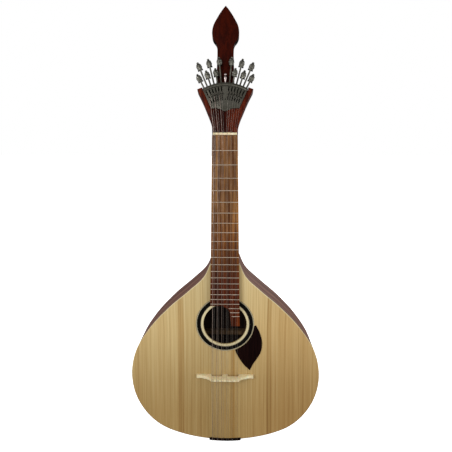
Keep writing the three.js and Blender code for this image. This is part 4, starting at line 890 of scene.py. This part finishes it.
class GUITAR_OT_stage(bpy.types.Operator):
    """A plain pale floor, soft lights and the camera at the photograph's angle"""
    bl_idname = "guitar.stage"
    bl_label = "Stage"

    def execute(self, context):
        start()
        bpy.ops.mesh.primitive_plane_add(size=FLOOR_SIZE, location=(0, 0, CAD_BOX[0][2] - FLOOR_DROP))
        floor = bpy.context.object
        floor.name = "floor"
        # A lit white table: it shines towards the camera and throws no light or mirror image on the guitar
        white = linear("#FFFFFF")
        pale = blank("pale_floor", Roughness=0.9, Emission_Strength=1.0, Base_Color=white, Emission_Color=white)
        floor.data.materials.append(pale[0])
        floor.visible_diffuse = floor.visible_glossy = False
        world = context.scene.world = bpy.data.worlds.new("studio")
        world.use_nodes = True
        sky = world.node_tree
        sky.nodes.clear()
        # The camera sees white all round, and the guitar gets only a faint even light from it
        seen = add(sky, "Background", {"Color": (1, 1, 1, 1), "Strength": 1.0})
        soft = add(sky, "Background", {"Color": (1, 1, 1, 1), "Strength": AMBIENT_LIGHT})
        ray = add(sky, "LightPath", out="Is Camera Ray")
        both = add(sky, "MixShader", links={0: ray, 1: soft, 2: seen})
        add(sky, "OutputWorld", links={"Surface": both}, out=None)
        for name, place, size, power in LIGHTS:
            bpy.ops.object.light_add(type="AREA", location=place)
            light = bpy.context.object
            light.name, light.data.size, light.data.energy = name, size, power
            light.rotation_euler = (Vector(LIGHTS_AIM) - Vector(place)).to_track_quat("-Z", "Y").to_euler()
        bpy.ops.object.camera_add(location=CAMERA_PLACE)
        camera = bpy.context.object
        camera.name = "camera"
        camera.rotation_euler = Vector(CAMERA_VIEW).to_track_quat("-Z", "Y").to_euler()
        camera.data.lens = SENSOR_WIDTH * FOCAL_PIXELS / FRAME_PIXELS
        camera.data.shift_y = CAMERA_SHIFT
        camera.data.clip_start = CAMERA_CLIP
        context.scene.camera = camera
        context.scene.view_settings.view_transform = "Standard"
        return {"FINISHED"}


class GUITAR_OT_soundboard(bpy.types.Operator):
    """The flat spruce board with its round hole and the seat for the ring"""
    bl_idname = "guitar.soundboard"
    bl_label = "Soundboard"

    def execute(self, context):
        edge = context.scene.guitar_sizes.board_edge / MM
        bevel = edge * BEVEL_SHARE
        back, seat = TOP_THICKNESS, ROSETTE_THICKNESS + GAP
        top = [Vector((x, BODY_TOP)) for x in range(-21, 22, 7)]

        def outline(inset):
            return body_outline(inset) + [point - Vector((0, inset)) for point in top]

        angles = [math.atan2(point[1] - HOLE_HEIGHT, point[0]) for point in outline(0)]

        def ring(radius, depth):
            return [(radius * math.cos(t), depth, HOLE_HEIGHT + radius * math.sin(t)) for t in angles]

        def rim(inset, depth):
            return [(x, depth, z) for x, z in outline(inset)]

        # The mark is one on bare wood and falls to zero on the thin edging round the board
        rows = [
            (rim(EDGE_ROW, 0), 1), (rim(edge + EDGING_WIDTH, 0), 1), (rim(edge, 0), 0), (rim(bevel, bevel), 0),
            (rim(0, edge), 0), (rim(0, back - edge), 0), (rim(bevel, back - bevel), 0), (rim(edge, back), 1),
            (ring(HOLE_RADIUS, back), 1), (ring(HOLE_RADIUS, seat), 1),
            (ring(ROSETTE_RADIUS + GAP, seat), 1), (ring(ROSETTE_RADIUS + GAP, 0), 1),
        ]
        board = skin("soundboard_plate", [row for row, _ in rows], looped=True,
                     marks={"rim": [mark for _, mark in rows]})
        settle(paint(board, "oiled_spruce"), GUITAR, "soundboard", smooth_by=30)
        return {"FINISHED"}


class GUITAR_OT_rosette(bpy.types.Operator):
    """The inlaid ring round the hole, its edge a little rounded by scraping"""
    bl_idname = "guitar.rosette"
    bl_label = "Rosette"

    def execute(self, context):
        rounds = [(HOLE_RADIUS, ROSETTE_THICKNESS), (HOLE_RADIUS, ROSETTE_EDGE), (HOLE_RADIUS + ROSETTE_EDGE, 0)]
        # Shallow hollows lie where two veneers meet
        for radius in VENEER_JOINTS:
            rounds += [(radius - JOINT_HALF_WIDTH, 0), (radius, JOINT_DEPTH), (radius + JOINT_HALF_WIDTH, 0)]
        rounds += [(ROSETTE_RADIUS, 0), (ROSETTE_RADIUS, ROSETTE_THICKNESS)]
        rings = [[(x, depth, z) for x, z in circle_points(radius, HOLE_HEIGHT, 160)] for radius, depth in rounds]
        ring = skin("rosette_ring", rings, looped=True)
        settle(paint(ring, "ring_inlay"), GUITAR, "rosette")
        return {"FINISHED"}


class GUITAR_OT_back(bpy.types.Operator):
    """The back, arched across its width, oiled outside and bare inside, where it is painted dark with shade"""
    bl_idname = "guitar.back"
    bl_label = "Back"

    def execute(self, context):
        outline = body_outline(0)
        shares = [2 * k / BACK_STEPS - 1 for k in range(BACK_STEPS + 1)]
        rings = []
        for x, z in outline[:len(outline) // 2 + 1]:
            outer = [(x * share, back_depth(x * share, 0), z) for share in shares]
            inner = [(x * share, back_depth(x * share, BACK_THICKNESS), z) for share in reversed(shares)]
            rings.append(outer + inner)
        back = skin("back_plate", rings)
        round_edges(back, WOOD_EDGE)
        paint(back, "oiled_rosewood", "bare_rosewood")
        # The inside faces get the painted shade
        for face in back.data.polygons:
            face.material_index = 1 if face.normal[1] < INSIDE_SLOPE else 0
        settle(back, GUITAR, "back", smooth_by=35)
        return {"FINISHED"}


class GUITAR_OT_ribs(bpy.types.Operator):
    """The two bent side bands, with the short returns behind the heel"""
    bl_idname = "guitar.ribs"
    bl_label = "Ribs"

    def execute(self, context):
        front, seam = TOP_THICKNESS + GAP, GAP / 2
        outline, inside = body_outline(0), body_outline(RIB_THICKNESS)
        half = len(outline) // 2
        head, inner_head = BODY_TOP - GAP, BODY_TOP - GAP - RIB_THICKNESS
        for side, name in ((1, "treble"), (-1, "bass")):
            outer = [Vector((seam, head)), *outline[:half], Vector((seam, outline[half][1]))]
            inner = [Vector((seam, inner_head)), *inside[:half], Vector((seam, inside[half][1]))]
            outer[1] = Vector((outline[0][0], head))
            inner[1] = Vector((inside[0][0], inner_head))
            rings, along = [], [0.0]
            for before, after in zip(outer, outer[1:]):
                along.append(along[-1] + (after - before).length)
            for (x, z), (u, w) in zip(outer, inner):
                x, u = max(x, seam), max(u, seam)
                deep, deeper = back_depth(x, BACK_THICKNESS + GAP), back_depth(u, BACK_THICKNESS + GAP)
                rings.append([
                    (side * x, front, z), (side * x, deep, z), (side * u, deeper, w), (side * u, front, w),
                ])
            rib = skin("side_band_" + name, rings, marks={"along": along})
            settle(paint(rib, "bent_rosewood"), GUITAR, "rib_" + name, smooth_by=35)
        return {"FINISHED"}


class GUITAR_OT_inside_wood(bpy.types.Operator):
    """The wood inside the body keeps its own shape and gets its finish"""
    bl_idname = "guitar.inside_wood"
    bl_label = "Blocks, linings and braces"

    def execute(self, context):
        inside = ["neck_block", "tail_block", "top_brace_1", "top_brace_2", "back_brace_1", "back_brace_2"]
        inside += [f"{face}_lining_{side}" for face in ("top", "back") for side in ("treble", "bass")]
        for name in inside:
            paint(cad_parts[name], "bare_cedar")
        return {"FINISHED"}


class GUITAR_OT_pickguard(bpy.types.Operator):
    """The leaf-shaped plate beside the hole"""
    bl_idname = "guitar.pickguard"
    bl_label = "Leaf plate"

    def execute(self, context):
        top = HOLE_HEIGHT - LEAF_TOP_DROP
        reach = top - BRIDGE_LEVEL - BRIDGE_FOOT / 2 - LEAF_TO_BRIDGE
        points = spread(LEAF_SHARES, LEAF_LEFT, LEAF_WIDTH, top, -reach)
        edge = smooth(points[:LEAF_TIP + 1], 10) + smooth(points[LEAF_TIP:], 8)[1:]
        leaf = plate("leaf_plate", edge, -GAP - LEAF_THICKNESS, -GAP)
        combine(leaf, disc(ROSETTE_RADIUS + GAP, HOLE_HEIGHT))
        round_edges(leaf, context.scene.guitar_sizes.leaf_edge / MM, 3)
        settle(paint(leaf, "black_hardwood"), GUITAR, "pickguard")
        return {"FINISHED"}


class GUITAR_OT_neck(bpy.types.Operator):
    """The neck's shaft with the sweep of its heel"""
    bl_idname = "guitar.neck"
    bl_label = "Neck"

    def execute(self, context):
        sweep = [HEEL_LENGTH * (k / HEEL_STEPS) ** HEEL_SPACING for k in range(HEEL_STEPS + 1)]
        straight = [HEEL_LENGTH + (NECK_TOP - HEEL_LENGTH) * k / SHAFT_STEPS for k in range(1, SHAFT_STEPS + 1)]
        rings = []
        for height in [NECK_LAP, *sweep, *straight]:
            half = board_half(height)
            into = max(0.0, 1 - max(0.0, height) / HEEL_LENGTH)
            shaft = NECK_DEPTH_AT_HEEL - (NECK_DEPTH_AT_HEEL - NECK_DEPTH_AT_NUT) / OCTAVE_LENGTH * height
            depth = shaft + (HEEL_SWEEP_DEPTH - shaft) * into ** HEEL_EASE
            power = NECK_ROUNDNESS + HEEL_EXTRA_ROUNDNESS * into
            ring = []
            for k in range(NECK_SIDES + 1):
                angle = math.pi * k / NECK_SIDES
                across = math.cos(angle)
                x = half * math.copysign(abs(across) ** power, across)
                ring.append((x, 0 if k == NECK_SIDES else depth * max(0.0, math.sin(angle)) ** power, height))
            rings.append(ring)
        neck = skin("neck_shaft", rings)
        neck.data.transform(NECK_IN_GUITAR)
        # It ends at the body and at the flat cap of its heel
        cuts = [((0, 0, BODY_TOP), (0, 0, -1)), ((0, HEEL_CAP_DEPTH, 0), (0, 1, 0))]
        edit(neck, *[
            (bpy.ops.mesh.bisect, {"plane_co": point, "plane_no": normal, "use_fill": True, "clear_outer": True})
            for point, normal in cuts])
        round_edges(neck, WOOD_EDGE)
        settle(paint(neck, "stained_mahogany"), GUITAR, "neck", smooth_by=35)
        return {"FINISHED"}


class GUITAR_OT_head(bpy.types.Operator):
    """The head's block with its wings, and the teardrop above it on its stem"""
    bl_idname = "guitar.head"
    bl_label = "Head"

    def execute(self, context):
        sizes = context.scene.guitar_sizes
        wing = spread(WING_SHARES, HEAD_HALF_BASE, WING_HALF_SPAN - HEAD_HALF_BASE, 0, WING_HEIGHT)
        treble = [Vector((HEAD_HALF_BASE, -GAP)), *smooth(wing, 6), Vector(WING_TOP)]
        treble += arc_points(ARC_MIDDLE, TRAY_HALF_TOP, 0.0, 16)
        wings = plate("head_block", treble + mirrored(treble)[1:], 0, HEAD_THICKNESS)
        # The back of the head is hollowed towards the neck
        low, high = HEAD_BACK[0][0], HEAD_BACK[-1][0]
        wide, top = HEAD_REACH
        profile = [
            (-CUT_REACH, -CUT_REACH), (low, -CUT_REACH), *smooth(HEAD_BACK, 5), (high, top), (-CUT_REACH, top)]
        side = across_plate("cutter", profile, -wide, wide)
        other_side = copy_of(side, "cutter")
        combine(wings, side, "INTERSECT")
        combine(wings, plate("cutter", tray_outline(GAP), -CUT_REACH, TRAY_DEPTH + GAP))
        round_edges(wings, sizes.head_edge / MM, angle=40)
        # The rounded edges get painted shade
        self.shade_edges(wings, "stained_mahogany", WALL_SLOPE)
        settle(wings, HEAD)

        drop = spread(DROP_SHARES, 0, DROP_HALF_WIDTH, DROP_FOOT, DROP_LENGTH)
        stem = arc_points(ARC_MIDDLE, STEM_HALF_WIDTH, STEM_HALF_TOP, 1)
        treble = [Vector((STEM_HALF_WIDTH, STEM_FOOT)), *stem, *smooth(drop, 6)]
        teardrop = plate("teardrop", treble + mirrored(treble)[1:], STEM_FACE, HEAD_THICKNESS)
        combine(teardrop, other_side, "INTERSECT")
        round_edges(teardrop, sizes.drop_edge / MM, 4, 40)
        # The teardrop's whole rim gets painted shade
        self.shade_edges(teardrop, "deep_mahogany", 0)
        settle(teardrop, HEAD)
        return {"FINISHED"}

    @staticmethod
    def shade_edges(piece, wood, least):
        """Paints shade on the rounded edges, from the side walls up to the flat front and back"""
        paint(piece, wood, "edge_mahogany")
        for face in piece.data.polygons:
            face.material_index = 1 if least <= abs(face.normal[1]) < FLAT_SLOPE else 0


class GUITAR_OT_fingerboard(bpy.types.Operator):
    """The fingerboard with the tongue on its treble side"""
    bl_idname = "guitar.fingerboard"
    bl_label = "Fingerboard"

    def execute(self, context):
        main_end = OCTAVE_LENGTH - fret_drop(LAST_FULL_FRET) - BOARD_OVERHANG
        tongue_end = OCTAVE_LENGTH - fret_drop(FRETS) - TONGUE_OVERHANG
        curve = spread(TONGUE_CURVE_SHARES, TONGUE_START, TONGUE_INNER - TONGUE_START, main_end,
                       tongue_end - main_end)
        top = board_half(OCTAVE_LENGTH)
        points = [Vector((-top, OCTAVE_LENGTH)), Vector((-board_half(main_end), main_end)), *smooth(curve, 6),
                  Vector((board_half(tongue_end), tongue_end)), Vector((top, OCTAVE_LENGTH))]
        board = plate("fingerboard_wood", points, -BOARD_THICKNESS, BLANK_DEPTH)
        board.data.transform(NECK_IN_GUITAR)
        # Above the body it stops at the neck's face, below it at the soundboard's
        wide, deep, high, low, lap = BOARD_CUT
        on_neck = block("cutter", (-wide, -GAP, 0), (wide, deep, high))
        on_neck.data.transform(NECK_IN_GUITAR)
        combine(board, on_neck)
        combine(board, block("cutter", (-wide, -GAP, low), (wide, deep, BODY_TOP + lap)))
        round_edges(board, WOOD_EDGE, angle=40)
        settle(paint(board, "board_rosewood"), GUITAR, "fingerboard")
        return {"FINISHED"}


class GUITAR_OT_frets(bpy.types.Operator):
    """Twenty-two crowned fret wires, the last three only on the tongue"""
    bl_idname = "guitar.frets"
    bl_label = "Frets"

    def execute(self, context):
        sizes = context.scene.guitar_sizes
        half, high = sizes.fret_width / MM / 2, sizes.fret_height / MM
        foot = -BOARD_THICKNESS + GAP
        arch = [math.pi * k / 8 for k in range(9)]
        for number in range(1, FRETS + 1):
            z = OCTAVE_LENGTH - fret_drop(number)
            right = board_half(z) - FRET_INSET
            left = -right
            if number > LAST_FULL_FRET:
                share = (number - LAST_FULL_FRET - 1) / (FRETS - LAST_FULL_FRET - 1)
                left = TONGUE_FRET_START + (TONGUE_INNER - TONGUE_FRET_START) * share
            ends = [(left + inset, low) for inset, low in FRET_END_SHARES]
            ends += [(right - inset, low) for inset, low in reversed(FRET_END_SHARES)]
            rings = []
            for x, low in ends:
                crown = [(x, -BOARD_THICKNESS - high * low * math.sin(t), z + half * math.cos(t)) for t in arch]
                rings.append(crown + [(x, foot, z - half), (x, foot, z + half)])
            settle(paint(skin(f"fret_{number}", rings), "nickel_silver"), NECK, smooth_by=50)
        return {"FINISHED"}


class GUITAR_OT_nut(bpy.types.Operator):
    """The bone nut with a slot for each string"""
    bl_idname = "guitar.nut"
    bl_label = "Nut"

    def execute(self, context):
        low, high = OCTAVE_LENGTH + GAP, OCTAVE_LENGTH + NUT_THICKNESS
        top = -BOARD_THICKNESS - NUT_PROUD
        face = [(top + drop, low + rise) for drop, rise in NUT_FACE]
        nut = across_plate("nut_bone", [(-GAP, high), (-GAP, low), *face, (top + NUT_FALL, high)],
                           -NUT_WIDTH / 2, NUT_WIDTH / 2)
        for index in range(STRINGS):
            x = course_offset(index, NUT_COURSE_PITCH, NUT_PAIR_PITCH)
            place = shift(x, top, low + STRING_REST) @ turn(NUT_SLOPE, "X")
            bore(nut, string_radius(index) + NUT_SLOT_ROOM, place)
        round_edges(nut, FINE_EDGE)
        settle(paint(nut, "polished_bone"), NECK, "nut")
        return {"FINISHED"}


class GUITAR_OT_bridge(bpy.types.Operator):
    """The loose bone bridge: stepped wings, two arches and a notch for each string"""
    bl_idname = "guitar.bridge"
    bl_label = "Bridge"

    def execute(self, context):
        treble = [Vector(point) for point in BRIDGE_ARCH + [(BRIDGE_HALF_LENGTH, 0)] + BRIDGE_CROWN]
        piece = plate("bridge_bone", treble + mirrored(treble), -BRIDGE_FOOT / 2, BRIDGE_FOOT / 2)
        # The bridge narrows from its feet to its crown
        for vertex in piece.data.vertices:
            vertex.co[1] *= 1 - (1 - BRIDGE_TOP / BRIDGE_FOOT) * vertex.co[2] / BRIDGE_HEIGHT
        for index in range(STRINGS):
            x = course_offset(index, BRIDGE_COURSE_PITCH, BRIDGE_PAIR_PITCH)
            place = shift(x, 0, BRIDGE_HEIGHT + NOTCH_RISE) @ turn(90, "X")
            bore(piece, string_radius(index) + NOTCH_ROOM, place)
        round_edges(piece, BRIDGE_EDGE, angle=45)
        settle(paint(piece, "polished_bone"), BRIDGE, "bridge")
        return {"FINISHED"}


class GUITAR_OT_tail(bpy.types.Operator):
    """The black strip at the tail and the steel tailpiece with a pin for each string"""
    bl_idname = "guitar.tail"
    bl_label = "Tail"

    def execute(self, context):
        strip = tail_band("tail_strip", TAIL_STRIP_WIDTH, TAIL_STRIP_SECTION)
        round_edges(strip, TAIL_STRIP_EDGE)
        settle(paint(strip, "black_hardwood"), GUITAR, "tail_saddle")
        piece = tail_band("tail_plate", TAIL_PLATE_WIDTH, TAIL_PLATE_SECTION)
        round_edges(piece, TAIL_PLATE_EDGE)
        settle(paint(piece, "handled_steel"), GUITAR, "tailpiece")
        pin = turned("pin", PIN_PROFILE, 16)
        for index in range(STRINGS):
            x = course_offset(index, TAIL_COURSE_PITCH, BRIDGE_PAIR_PITCH)
            one = copy_of(pin, f"tail_pin_{index + 1}")
            one.data.transform(shift(x, PIN_DEPTH, tail_height(x, PIN_SEAT)) @ turn(180, "X"))
            settle(paint(one, "handled_steel"), GUITAR)
        bpy.data.meshes.remove(pin.data)
        return {"FINISHED"}


class GUITAR_OT_machine(bpy.types.Operator):
    """The tuning machine's tray with its moulded arc bar and turned post"""
    bl_idname = "guitar.machine"
    bl_label = "Tuning machine"

    def execute(self, context):
        tray = plate("machine_tray", tray_outline(0), GAP, TRAY_DEPTH)
        pocket = plate("cutter", tray_outline(-TRAY_WALL), -CUT_REACH, TRAY_DEPTH - TRAY_FLOOR)
        combine(pocket, disc(ARC_INNER, FAN_CENTRE, reach=POCKET_REACH), "INTERSECT")
        combine(pocket, disc(SLOT_INNER - TRAY_STEP, FAN_CENTRE, 128, POCKET_REACH))
        combine(tray, pocket)
        settle(paint(tray, "aged_plating"), HEAD, "tuner_tray")
        rings = []
        for k in range(ARC_STEPS + 1):
            angle = math.radians(-ARC_HALF_ANGLE + 2 * ARC_HALF_ANGLE * k / ARC_STEPS)
            rings.append([
                ((ARC_INNER + out) * math.sin(angle), depth, FAN_CENTRE + (ARC_INNER + out) * math.cos(angle))
                for out, depth in ARC_SECTION])
        settle(paint(skin("arc_bar", rings), "aged_plating"), HEAD, smooth_by=60)
        foot = ARC_RADIUS - POST_SINK
        profile = [(POST_RADIUS * across, foot + POST_LENGTH * up)
                   for across, up in smooth(POST_VASE, 5) + smooth(POST_CAP, 3)[1:]]
        post = turned("machine_post", [(0, foot), *profile, (0, foot + POST_LENGTH)], 32)
        post.data.transform(shift(0, SCREW_DEPTH, FAN_CENTRE))
        settle(paint(post, "bright_nickel"), HEAD)
        return {"FINISHED"}


class GUITAR_OT_cover(bpy.types.Operator):
    """The cover plate with its twelve slots and its screw"""
    bl_idname = "guitar.cover"
    bl_label = "Cover plate"

    def execute(self, context):
        cover = plate("machine_cover", tray_outline(0), -COVER_THICKNESS, 0)
        combine(cover, disc(ARC_INNER - GAP, FAN_CENTRE), "INTERSECT")
        r = SLOT_WIDTH / 2
        for index in range(STRINGS):
            ends = circle_points(r, SLOT_OUTER - r, 16)[:9] + circle_points(r, SLOT_INNER + r, 16)[8:]
            slot = plate("cutter", ends, -5, 5)
            slot.data.transform(HEAD.inverted() @ lane(index))
            combine(cover, slot)
        round_edges(cover, FINE_EDGE)
        settle(paint(cover, "aged_plating"), HEAD, "tuner_cover")
        screw = turned("cover_screw", COVER_SCREW_PROFILE, 20)
        combine(screw, block("cutter", *COVER_SCREW_SLOT))
        screw.data.transform(shift(0, -COVER_THICKNESS, COVER_SCREW_HEIGHT) @ turn(-90, "X"))
        settle(paint(screw, "greased_steel"), HEAD)
        return {"FINISHED"}


class GUITAR_OT_screws(bpy.types.Operator):
    """Twelve tuning screws: thread, collars and a flower-shaped knob with relief"""
    bl_idname = "guitar.screws"
    bl_label = "Tuning screws"

    def execute(self, context):
        sizes = context.scene.guitar_sizes
        for long in (False, True):
            middle = LONG_KNOB if long else SHORT_KNOB
            thread = self.thread(sizes.thread_pitch / MM)
            shaft_top = [(radius, middle + height) for radius, height in SHAFT_TOP_PROFILE]
            rod = paint(turned("rod", COLLARS_PROFILE + shaft_top, 16), "aged_plating")
            knob = self.knob(sizes.knob_relief / MM)
            knob.data.transform(shift(0, 0, middle))
            screw = joined("screw", [thread, rod, knob])
            for index in range(STRINGS):
                # Long and short knobs take turns outwards from the middle
                if (from_middle(index) % 2 == 0) == long:
                    one = copy_of(screw, f"tuning_screw_{index + 1}_turned")
                    settle(one, lane(index, SCREW_DEPTH), f"tuning_screw_{index + 1}",
                           f"screw_{index + 1}")
            bpy.data.meshes.remove(screw.data)
        return {"FINISHED"}

    @staticmethod
    def thread(pitch):
        """The threaded part: a wave runs round it and climbs by the pitch with each turn"""
        length = THREAD_TOP - SCREW_FOOT
        steps = int(length / pitch * STEPS_PER_TURN)
        rings = []
        for k in range(steps + 1):
            z = SCREW_FOOT + length * k / steps
            ring = []
            for j in range(THREAD_SIDES):
                angle = 2 * math.pi * j / THREAD_SIDES
                wave = (z / pitch - j / THREAD_SIDES) % 1.0
                r = THREAD_RADIUS - THREAD_CUT * abs(2 * wave - 1)
                ring.append((r * math.cos(angle), r * math.sin(angle), z))
            rings.append(ring)
        # The thread is painted near black, as shade inside the cover's slots
        return paint(skin("thread", rings), "greased_steel")

    @staticmethod
    def knob(relief):
        """A flat flower with petals that swirl round its middle, two near-black lobes of painted shade below and a
        nub on top
        """
        rings = []
        for across, up in smooth(KNOB_SHARES, 5):
            ring = []
            for j in range(KNOB_SIDES):
                angle = 2 * math.pi * j / KNOB_SIDES
                x = KNOB_HALF_WIDTH * across * math.cos(angle)
                z = KNOB_LENGTH * (up - 0.5)
                out = math.hypot(x / KNOB_HALF_WIDTH, z / KNOB_LENGTH * 2)
                petal = math.cos(PETALS * math.atan2(x, z) + PETAL_SWIRL * out)
                hollow = relief * (0.5 - 0.5 * petal) * min(1.0, across * TIP_FADE) * min(1.0, out * MIDDLE_FADE)
                edge = 1 + PETAL_WAVE * petal * out
                ring.append((x * edge, (KNOB_HALF_THICKNESS * across - hollow) * math.sin(angle), z))
            rings.append(ring)
        parts = [paint(skin("flower", rings), "cast_plating")]
        x, y, z = LOBE_PLACE
        for side in (-1, 1):
            start()
            bpy.ops.mesh.primitive_uv_sphere_add(segments=14, ring_count=8, radius=LOBE_RADIUS)
            lobe = bpy.context.object
            lobe.data.transform(shift(side * x, y, z) @ Matrix.Diagonal(LOBE_SHAPE))
            # The lobes are painted near black, as shade beside the shaft
            parts.append(paint(lobe, "greased_steel"))
        return joined("knob", [*parts, paint(turned("nub", NUB_PROFILE, 14), "cast_plating")])


class GUITAR_OT_hooks(bpy.types.Operator):
    """Twelve threaded sliders, each with the hook that holds its string"""
    bl_idname = "guitar.hooks"
    bl_label = "Sliders and hooks"

    def execute(self, context):
        slider = block("slider", *SLIDER_BOX)
        bore(slider, SLIDER_BORE, reach=SLIDER_BORE_REACH, sides=16)
        round_edges(slider, SLIDER_EDGE)
        hook = across_plate("hook", HOOK_PROFILE, -HOOK_HALF_WIDTH, HOOK_HALF_WIDTH)
        round_edges(hook, HOOK_EDGE, 3)
        whole = joined("slider_with_hook", [paint(slider, "aged_plating"), paint(hook, "handled_steel")])
        for index in range(STRINGS):
            one = copy_of(whole, f"slider_hook_{index + 1}")
            settle(one, lane(index, SCREW_DEPTH), f"string_hook_{index + 1}", f"hook_{index + 1}")
        bpy.data.meshes.remove(whole.data)
        return {"FINISHED"}


def string_route(index):
    """Where one string touches hook, nut, bridge, tail strip and pin, in the instrument's frame"""
    r = string_radius(index)
    outermost, foremost = TAIL_STRIP_FACE
    nut_place = Vector((course_offset(index, NUT_COURSE_PITCH, NUT_PAIR_PITCH),
                        -BOARD_THICKNESS - NUT_PROUD - r * NUT_SLOT_SHARE, OCTAVE_LENGTH + GAP + STRING_REST))
    x = course_offset(index, TAIL_COURSE_PITCH, BRIDGE_PAIR_PITCH)
    tail = tail_height(x, outermost + r)
    return [
        GUITAR.inverted() @ lane(index) @ Vector((0, STRING_DEPTH, HOOK_RADIUS - HOOK_HALF_HEIGHT - r)),
        NECK_IN_GUITAR @ nut_place,
        Vector((course_offset(index, BRIDGE_COURSE_PITCH, BRIDGE_PAIR_PITCH), -BRIDGE_HEIGHT - NOTCH_RISE - r,
                BRIDGE_LEVEL)),
        Vector((x, foremost - r, tail)),
        Vector((x, PIN_DEPTH - PIN_ROOM - r, tail)),
    ]


class GUITAR_OT_strings(bpy.types.Operator):
    """Twelve strings in six pairs, wound ones on the bass side, with their loops"""
    bl_idname = "guitar.strings"
    bl_label = "Strings"

    def execute(self, context):
        for index in range(STRINGS):
            number, r = index + 1, string_radius(index)
            route = string_route(index)
            path = [route[0]]
            for before, corner, after in zip(route, route[1:], route[2:]):
                first = corner + (before - corner).normalized() * STRING_BEND
                last = corner + (after - corner).normalized() * STRING_BEND
                for k in range(BEND_STEPS + 1):
                    t = k / BEND_STEPS
                    path.append(first * (1 - t) ** 2 + corner * 2 * t * (1 - t) + last * t * t)
            path.append(route[-1])
            wire = tube(f"string_{number}_wire", path, r)
            paint(wire, "wound_bronze" if index in WOUND_STRINGS else "plain_wire")
            settle(wire, GUITAR, body=None, smooth_by=60)
            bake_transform(wire)
            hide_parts(f"string_{number}")
            loop = tube(f"string_{number}_loop", self.loop(r), LOOP_WIRE + r * LOOP_WIRE_SHARE, 8)
            settle(paint(loop, "handled_steel"), lane(index), body=f"hook_{number}", smooth_by=60)
        return {"FINISHED"}

    @staticmethod
    def loop(r):
        """Once round the hook's stem, then wound round the string below it"""
        path = []
        for k in range(LOOP_STEPS + 1):
            angle = math.pi * (LOOP_START + LOOP_REACH * k / LOOP_STEPS)
            path.append(Vector((LOOP_RADIUS * math.cos(angle), STRING_DEPTH + LOOP_LEAN * math.sin(angle),
                                HOOK_RADIUS + LOOP_HALF_HEIGHT * math.sin(angle))))
        wound = r + WINDING_ROOM
        for k in range(WINDING_STEPS + 1):
            angle = 2 * math.pi * k / 8
            path.append(Vector((wound * math.cos(angle), STRING_DEPTH + wound * math.sin(angle),
                                HOOK_RADIUS - WINDING_DROP - WINDING_STEP * k)))
        return path


class GUITAR_PT_pieces(bpy.types.Panel):
    """Sizes, colours and buttons for the pieces of the guitar"""
    bl_label = "Portuguese guitar"
    bl_idname = "GUITAR_PT_pieces"
    bl_space_type = "VIEW_3D"
    bl_region_type = "UI"
    bl_category = "Guitar"

    def draw(self, context):
        for group in (context.scene.guitar_sizes, context.scene.guitar_colours):
            box = self.layout.box()
            for name in group.__annotations__:
                box.prop(group, name)
        for operator in OPERATORS:
            self.layout.operator(operator.bl_idname)


OPERATORS = [
    GUITAR_OT_stage, GUITAR_OT_soundboard, GUITAR_OT_rosette, GUITAR_OT_back, GUITAR_OT_ribs,
    GUITAR_OT_inside_wood, GUITAR_OT_pickguard, GUITAR_OT_neck, GUITAR_OT_head, GUITAR_OT_fingerboard,
    GUITAR_OT_frets, GUITAR_OT_nut, GUITAR_OT_bridge, GUITAR_OT_tail, GUITAR_OT_machine, GUITAR_OT_cover,
    GUITAR_OT_screws, GUITAR_OT_hooks, GUITAR_OT_strings,
]
CLASSES = [GuitarSizes, GuitarColours, *OPERATORS, GUITAR_PT_pieces]


def register():
    for item in CLASSES:
        bpy.utils.register_class(item)
    bpy.types.Scene.guitar_sizes = bpy.props.PointerProperty(type=GuitarSizes)
    bpy.types.Scene.guitar_colours = bpy.props.PointerProperty(type=GuitarColours)


def unregister():
    del bpy.types.Scene.guitar_sizes
    del bpy.types.Scene.guitar_colours
    for item in reversed(CLASSES):
        bpy.utils.unregister_class(item)


def main():
    """Builds every piece in order"""
    register()
    for operator in OPERATORS:
        group, name = operator.bl_idname.split(".")
        if "FINISHED" not in getattr(getattr(bpy.ops, group), name)():
            raise RuntimeError(f"{operator.bl_label} was not finished")
    start()


if __name__ == "__main__":
    main()
